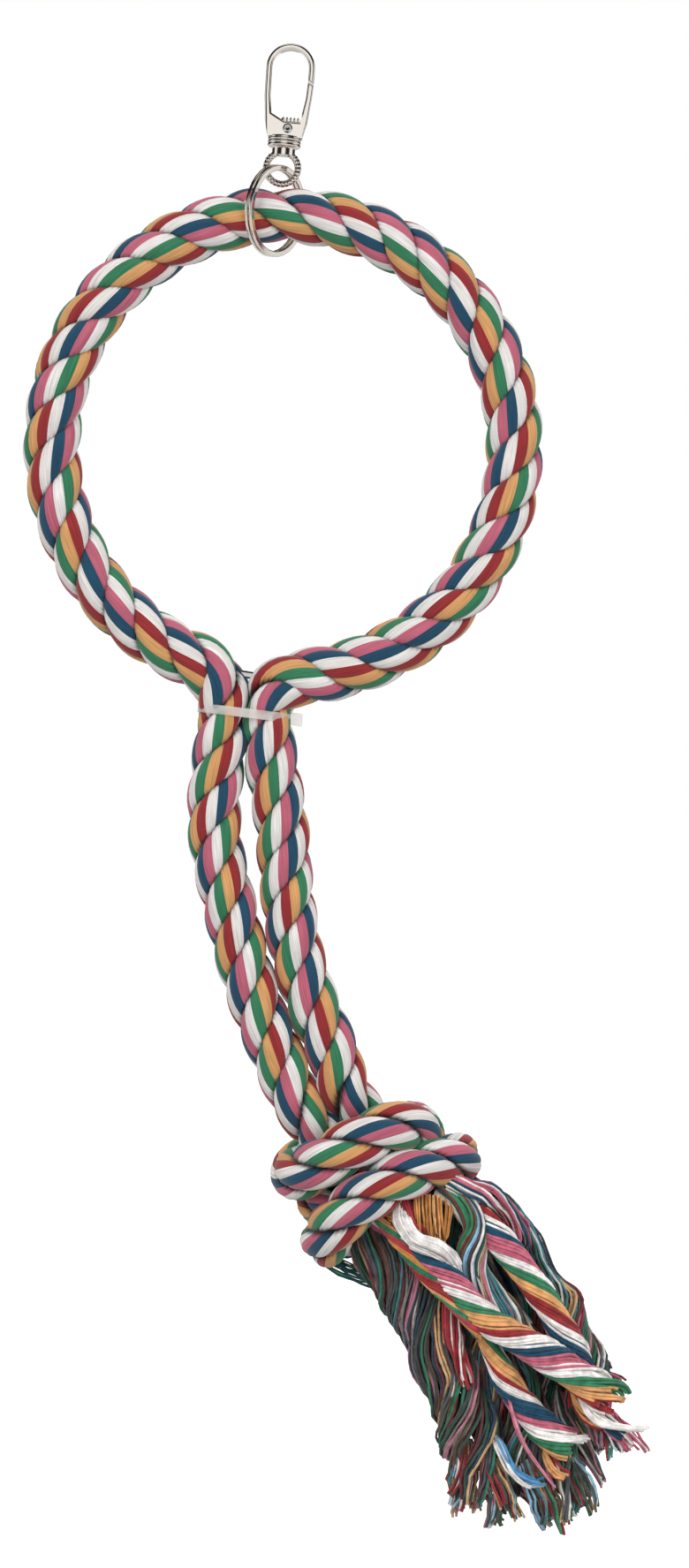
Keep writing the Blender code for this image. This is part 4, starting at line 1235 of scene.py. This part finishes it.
        late = graph.ranged(factor, self.opens_at, 1.0, 0.0, 1.0, smooth=True)
        gather = late * self.gather
        gathered = graph.mixed(gather, sector, (lock + 0.5) * (1 / self.locks))
        crimp = graph.drift(travel * self.crimp_waves + size["Seed"]) * size["Crimp"]
        cosine, sine = graph.cos_sin(gathered + (crimp + travel * size["Twist"]))
        deep = ((thread + 0.5) / size["Threads"]) ** self.depth_shape
        deep = graph.mixed(gather, deep, chance(*self.lock_depths, Draw.DEPTH, lock))
        fan = late * chance(*self.lock_fans, Draw.FAN, lock) * size["Flare"] + 1.0
        spoke = (side * cosine + across * sine) * (deep * girth * fan)
        moves = []
        for key, (pitch, waves, share) in zip((lock, whole, streak), self.stirs):
            spot = graph.add("ShaderNodeCombineXYZ", key * pitch, travel * waves, size["Seed"])
            moves.append((graph.noise(spot, 1.0, 1.0).out("Color") - (0.5, 0.5, 0.5)) * share)
        free = graph.ranged(factor, 0.0, 1.0, *self.freedom) * size["Wave"]
        stir = (moves[0] + moves[1] + moves[2]) * free
        laid = graph.add("GeometryNodeSetPosition", lines, into={"Offset": spoke + stir})
        end = chance(1.0, 1.0 - size["Trim"], Draw.LOCK_END, lock)
        end = end * chance(*self.thread_ends, Draw.THREAD_END)
        cut = graph.add("GeometryNodeTrimCurve", laid, into={"End": end}, mode="FACTOR")
        alone = graph.math("LESS_THAN", chance(0.0, 1.0, Draw.ALONE), self.alone)
        shared = chance(0.0, 1.0, Draw.STREAK_SHADE, streak)
        own = graph.mixed(alone, shared, chance(0.0, 1.0, Draw.OWN_SHADE))
        stripe = graph.math("FRACT", sector + chance(-self.stripe_blur, self.stripe_blur, Draw.STRIPE))
        dyed = graph.stored(cut, "shade", graph.mixed(size["Mixed"], stripe, own))
        section = graph.add("GeometryNodeCurvePrimitiveCircle", mode="RADIUS", into={
            "Resolution": self.sides, "Radius": size["Thread Radius"]})
        made = graph.add("GeometryNodeCurveToMesh", dyed, section, into={"Fill Caps": True})
        graph.end(made, size["Material"])
        return graph

    def build(self, knot: Knot) -> list[bpy.types.Object]:
        """Args:
            knot: the knot that they hang from.

        Returns:
            The pieces.
        """
        graph = self.tree()
        looks = {yarns: LooseYarn(yarns).material() for yarns in Yarns}
        pieces = []
        for bundle in (*self.bundles, *self.mixed_tufts(), *self.tips, *self.apricot_loops()):
            sizes = {"Threads": bundle.threads, "Thread Radius": bundle.thread * MM, "Twist": bundle.twist,
                     "Wave": bundle.wave * MM, "Flare": bundle.flare, "Trim": bundle.trim,
                     "Mixed": float(not bundle.striped), "Crimp": self.crimps[bundle.striped],
                     "Seed": bundle.seed, "Material": looks[bundle.yarns]}
            chain = bundle.path(knot, self.step).chain(bundle.name)
            piece = grow(bundle.name, chain, graph, sizes, ("shade",))
            if bundle.node:
                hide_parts(bundle.node)
            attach(piece, "tail")
            pieces.append(piece)
        return pieces


@dataclass(frozen=True)
class Fitting:
    """A hard piece: its solid, with the edges that casting, drawing or moulding rounds.

    edge is the rounding in mm. rim is how far from the middle plane an edge lies to be rounded, shortest its
    least length and lowest its least height. dimple is the depth of a recess in both ends of a rivet, and
    pushes is the body that the top of a spring bears on.
    """

    node: str
    body: str
    slot: str
    edge: float
    rim: float = 0.0
    shortest: float = 0.0
    lowest: float = -1000.0
    dimple: float = 0.0
    pushes: str | None = None


@dataclass(frozen=True)
class Hardware:
    """The hook, its eye and link, the hoop's wire and the tie, as smooth pieces with rounded edges.

    Lengths are in mm. Pairs of steps are how finely a round form is cut, the long way and the short way.
    """

    fittings: tuple[Fitting, ...] = (
        Fitting("hook_frame", "hook", "polished_nickel", 0.65, 2.25, 0.6, -21.9),
        Fitting("hook_gate", "gate", "polished_nickel", 0.5, 0.95, 0.7),
        Fitting("gate_pin", "hook", "spring_steel", 0.12, 2.6, dimple=0.25),
        Fitting("gate_spring", "hook", "spring_steel", 0.0, pushes="gate"),
        Fitting("swivel_eye", "eye", "polished_nickel", 0.0),
        Fitting("split_ring", "link", "polished_nickel", 0.11),
        Fitting("ring_wire", "ring", "spring_steel", 0.0),
        Fitting("cable_tie", "ring", "natural_nylon", 0.22),
    )
    edge_steps: int = 4
    sharp: float = math.radians(32.0)
    flat: float = math.radians(1.0)
    level: float = 0.99
    tilt: float = math.radians(5.0)
    dimple_rim: float = 0.35
    dimple_wall: float = 0.5
    crease: float = math.radians(24.0)
    thumb_ribs: tuple[float, ...] = (-0.8, 0.2, 1.2, 2.2, 3.2)
    thumb_rib: Triple = (0.27, 0.22, 0.6)
    thumb_place: Pair = (1.0, -18.9)
    thumb_steps: tuple[int, int] = (14, 10)
    rib_heights: tuple[float, ...] = (-24.35, -25.2, -26.05)
    rib: Pair = (4.1, 0.45)
    rib_steps: tuple[int, int] = (48, 12)
    bead_circle: Pair = (-32.15, 4.3)
    beads: int = 26
    bead: float = 0.95
    bead_steps: tuple[int, int] = (12, 8)

    def worn(self, edge: bmesh.types.BMEdge, fitting: Fitting) -> bool:
        """Tell whether an edge gets rounded: a sharp one, which on a plate borders its front or back.

        Args:
            edge: the edge.
            fitting: the piece.

        Returns:
            Whether it does.
        """
        if len(edge.link_faces) != 2 or edge.calc_face_angle() <= self.sharp:
            return False
        if edge.calc_length() < fitting.shortest * MM:
            return False
        if not fitting.rim:
            return True
        level = [abs(face.normal.y) > self.level for face in edge.link_faces]
        places = [vert.co / MM for vert in edge.verts]
        outside = all(abs(place.y) >= fitting.rim and place.z > fitting.lowest for place in places)
        return outside and edge.is_convex and sum(level) == 1

    def rounded(self, fitting: Fitting) -> bpy.types.Object:
        """Copy a solid and round its edges.

        Args:
            fitting: the piece.

        Returns:
            The new piece.
        """
        form = bmesh.new()
        form.from_mesh(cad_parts[fitting.node].data)
        bmesh.ops.remove_doubles(form, verts=form.verts, dist=SAME_PLACE)
        bmesh.ops.dissolve_limit(form, angle_limit=self.flat, verts=form.verts, edges=form.edges)
        form.normal_update()
        edges = [edge for edge in form.edges if self.worn(edge, fitting)]
        if fitting.edge:
            bmesh.ops.bevel(form, geom=edges, offset=fitting.edge * MM, offset_type="OFFSET", affect="EDGES",
                            segments=self.edge_steps, profile=0.5, clamp_overlap=False)
        if fitting.dimple:
            end = max(abs(vert.co.y) for vert in form.verts) - SAME_PLACE / 2
            ends = [face for face in form.faces if abs(face.calc_center_median().y) > end]
            for width, depth in ((self.dimple_rim, 0.0), (self.dimple_wall, -fitting.dimple)):
                bmesh.ops.inset_region(form, faces=ends, thickness=width * MM, depth=depth * MM)
        holder = keep_form(f"{fitting.node}.holder", form)
        holder.data.set_sharp_from_angle(angle=self.crease)
        holder.modifiers.new("flats", "WEIGHTED_NORMAL").keep_sharp = True
        return keep(f"{fitting.node}_shown", evaluated(holder))

    def turned(self, point: Sequence[float]) -> Vector:
        """Lean a place of the upright hook, in mm, as the hook leans."""
        return Matrix.Rotation(self.tilt, 4, "Y") @ Vector(point) * MM

    def ribs(self) -> bpy.types.Object:
        """Lay rounded ribs round the hook's collar.

        Returns:
            The ribs, as one piece.
        """
        form = bmesh.new()
        radius, thick = self.rib
        angles, rounds = (np.linspace(0.0, FULL_TURN, steps, endpoint=False) for steps in self.rib_steps)
        for height in self.rib_heights:
            rings = []
            for a in angles:
                places = [(radius + thick * math.cos(b), height + thick * math.sin(b)) for b in rounds]
                rings.append([form.verts.new(self.turned((out * math.cos(a), out * math.sin(a), up)))
                              for out, up in places])
            for ring, after in zip(rings, rings[1:] + rings[:1]):
                for j in range(len(ring)):
                    form.faces.new((ring[j - 1], after[j - 1], after[j], ring[j]))
        return keep_form("collar_ribs", form)

    def thumb_grip(self) -> bpy.types.Object:
        """Set short upright ribs on both faces of the gate's thumb edge.

        Returns:
            The ribs, as one piece.
        """
        form = bmesh.new()
        depth, height = self.thumb_place
        u_steps, v_steps = self.thumb_steps
        for across in self.thumb_ribs:
            for face in (-depth, depth):
                rib = bmesh.ops.create_uvsphere(form, u_segments=u_steps, v_segments=v_steps, radius=1.0)
                for vert in rib["verts"]:
                    wide, deep, tall = (part * size for part, size in zip(vert.co, self.thumb_rib))
                    vert.co = self.turned((across + wide, face + deep, height + tall))
        return keep_form("thumb_grip", form)

    def bead_row(self, material: bpy.types.Material) -> bpy.types.Object:
        """Cast beads round the eye, by a node tree that sets a bead on each point of a circle.

        Args:
            material: the beads' material.

        Returns:
            The beads, as one piece.
        """
        graph, size = new_tree("bead_row", Float=("Bead Radius",))
        bead = graph.add("GeometryNodeMeshUVSphere", *self.bead_steps, size["Bead Radius"])
        row = graph.add("GeometryNodeInstanceOnPoints", size["Geometry"], into={"Instance": bead})
        graph.end(row, size["Material"])
        depth, radius = self.bead_circle
        angles = np.linspace(0.0, FULL_TURN, self.beads, endpoint=False)
        places = [self.turned((radius * math.cos(a), 0.0, depth + radius * math.sin(a))) for a in angles]
        points = bpy.data.meshes.new("eye_beads")
        points.from_pydata(places, [], [])
        return grow("eye_beads", points, graph, {"Bead Radius": self.bead * MM, "Material": material})

    def build(self) -> list[bpy.types.Object]:
        """Make, dress and place the hard pieces.

        Returns:
            The pieces.
        """
        finishes = {"polished_nickel": Metal("nickel_plated_zinc", "#EDE6DE", 0.09).material(),
                    "spring_steel": Metal("drawn_spring_steel", "#CFCDCA", 0.16).material(),
                    "natural_nylon": NaturalNylon().material()}
        pieces = []
        for fitting in self.fittings:
            piece = self.rounded(fitting)
            piece.data.materials.clear()
            piece.data.materials.append(finishes[fitting.slot])
            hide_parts(fitting.node)
            if fitting.pushes:
                box = [Vector(corner) for corner in piece.bound_box]
                foot = (box[0] + box[7]) / 2
                top = (box[1] + box[6]) / 2
                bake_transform(piece, fitting.body, fitting.pushes, foot, top)
            else:
                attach(piece, fitting.body)
            pieces.append(piece)
        nickel = finishes["polished_nickel"]
        ribs, grip = self.ribs(), self.thumb_grip()
        ribs.data.materials.append(nickel)
        grip.data.materials.append(nickel)
        for piece, body in ((ribs, "hook"), (grip, "gate"), (self.bead_row(nickel), "eye")):
            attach(piece, body)
            pieces.append(piece)
        return pieces


@dataclass(frozen=True)
class Studio:
    """Camera, pale floor and soft light, for a picture of 780 by 1775.

    Lengths are in metres. Each lamp has a name, a place, a width and a power in watts.
    """

    lens: float = 100.0
    sensor: float = 36.0
    picture_height: float = 1775 * 0.24 * MM
    look_at: Pair = (0.01416, -0.1993)
    floor: float = -0.52
    floor_reach: float = 6.0
    paper: str = "#BCBCBC"
    paper_mirrored: float = 0.2
    paper_glow: float = 0.8
    ambient: float = 0.7
    screen_edge: Pair = (0.88, 0.978)
    screen_tone: float = 0.02
    lamps_face: Triple = (0.0, 0.0, -0.2)
    lamps: tuple[tuple[str, Triple, float, float], ...] = (
        ("key", (-0.9, -1.3, 0.7), 0.9, 14.0),
        ("fill", (1.2, -1.1, 0.1), 1.0, 9.0),
        ("back", (0.3, 1.3, 0.9), 1.0, 8.0),
    )

    def camera(self) -> None:
        """Stand the camera level with the middle of the picture."""
        data = bpy.data.cameras.new("camera")
        data.lens = self.lens
        data.sensor_width = self.sensor
        camera = keep("camera", data)
        distance = self.picture_height * self.lens / self.sensor
        camera.location = (self.look_at[0], -distance, self.look_at[1])
        camera.rotation_euler = (math.pi / 2, 0.0, 0.0)
        bpy.context.scene.camera = camera

    def white_for_eye(self, graph: Graph, mirrored: float) -> Field:
        """One where a ray comes straight from the camera or through clear plastic, and otherwise nought.

        Args:
            graph: the shader tree's graph.
            mirrored: the share that a mirror gets.

        Returns:
            The share.
        """
        ray = graph.add("ShaderNodeLightPath")
        seen = graph.math("MAXIMUM", ray.out("Is Camera Ray"), ray.out("Is Glossy Ray") * mirrored)
        return graph.math("MAXIMUM", seen, ray.out("Is Transmission Ray"))

    def world(self) -> None:
        """White to the eye, with a plain even light, and dark screens at the corners for metal to mirror."""
        world = bpy.data.worlds.new("studio")
        world.use_nodes = True
        graph = Graph(world.node_tree)
        way = graph.vector("ABSOLUTE", graph.add("ShaderNodeTexCoord").out("Generated"))
        parts = graph.add("ShaderNodeSeparateXYZ", way)
        most = graph.math("MAXIMUM", parts.out("X"), parts.out("Y"))
        most = graph.math("MAXIMUM", most, parts.out("Z"))
        screen = graph.ranged(most, *self.screen_edge, self.screen_tone, 1.0, smooth=True)
        lit = graph.mixed(graph.add("ShaderNodeLightPath").out("Is Glossy Ray"), 1.0, screen)
        strength = graph.ranged(self.white_for_eye(graph, 1.0), 0.0, 1.0, self.ambient, 1.0)
        graph.wire(world.node_tree.nodes["Background"], {"Color": WHITE, "Strength": strength * lit})
        bpy.context.scene.world = world

    def stand(self) -> None:
        """Lay a wide pale floor that stays white to the eye and still takes a shadow."""
        mesh = bpy.data.meshes.new("floor")
        reach = self.floor_reach
        corners = [(-reach, -reach), (reach, -reach), (reach, reach), (-reach, reach)]
        mesh.from_pydata([(x, y, self.floor) for x, y in corners], [], [(0, 1, 2, 3)])
        material, graph, _ = new_material("matt_studio_paper")
        graph.tree.nodes.clear()
        paper = graph.add("ShaderNodeBsdfDiffuse", linear(self.paper))
        seen = self.white_for_eye(graph, self.paper_mirrored) * self.paper_glow
        glow = graph.add("ShaderNodeEmission", WHITE, seen)
        graph.add("ShaderNodeOutputMaterial", graph.add("ShaderNodeAddShader", paper, glow))
        mesh.materials.append(material)
        keep("floor", mesh)

    def lamp(self, name: str, place: Sequence[float], size: float, power: float) -> None:
        """Hang a square soft lamp that faces the swing.

        Args:
            name: the lamp's name.
            place: where it hangs, in metres.
            size: its width.
            power: its power in watts.
        """
        data = bpy.data.lights.new(name, "AREA")
        data.size = size
        data.energy = power
        lamp = keep(name, data)
        lamp.location = place
        lamp.visible_glossy = False
        lamp.rotation_euler = (Vector(self.lamps_face) - Vector(place)).to_track_quat("-Z", "Y").to_euler()

    def build(self) -> None:
        """Set up the studio."""
        bpy.context.scene.view_settings.view_transform = "Standard"
        self.camera()
        self.world()
        self.stand()
        for lamp in self.lamps:
            self.lamp(*lamp)


def main() -> None:
    """Build and dress the swing, piece by piece."""
    logging.basicConfig(level=logging.INFO, format="%(message)s")
    Studio().build()
    rope = RopeWork()
    for piece in rope.build() + Tassel().build(rope.knot) + Hardware().build():
        LOG.info("%s: %d faces", piece.name, len(piece.data.polygons))


if __name__ == "__main__":
    main()
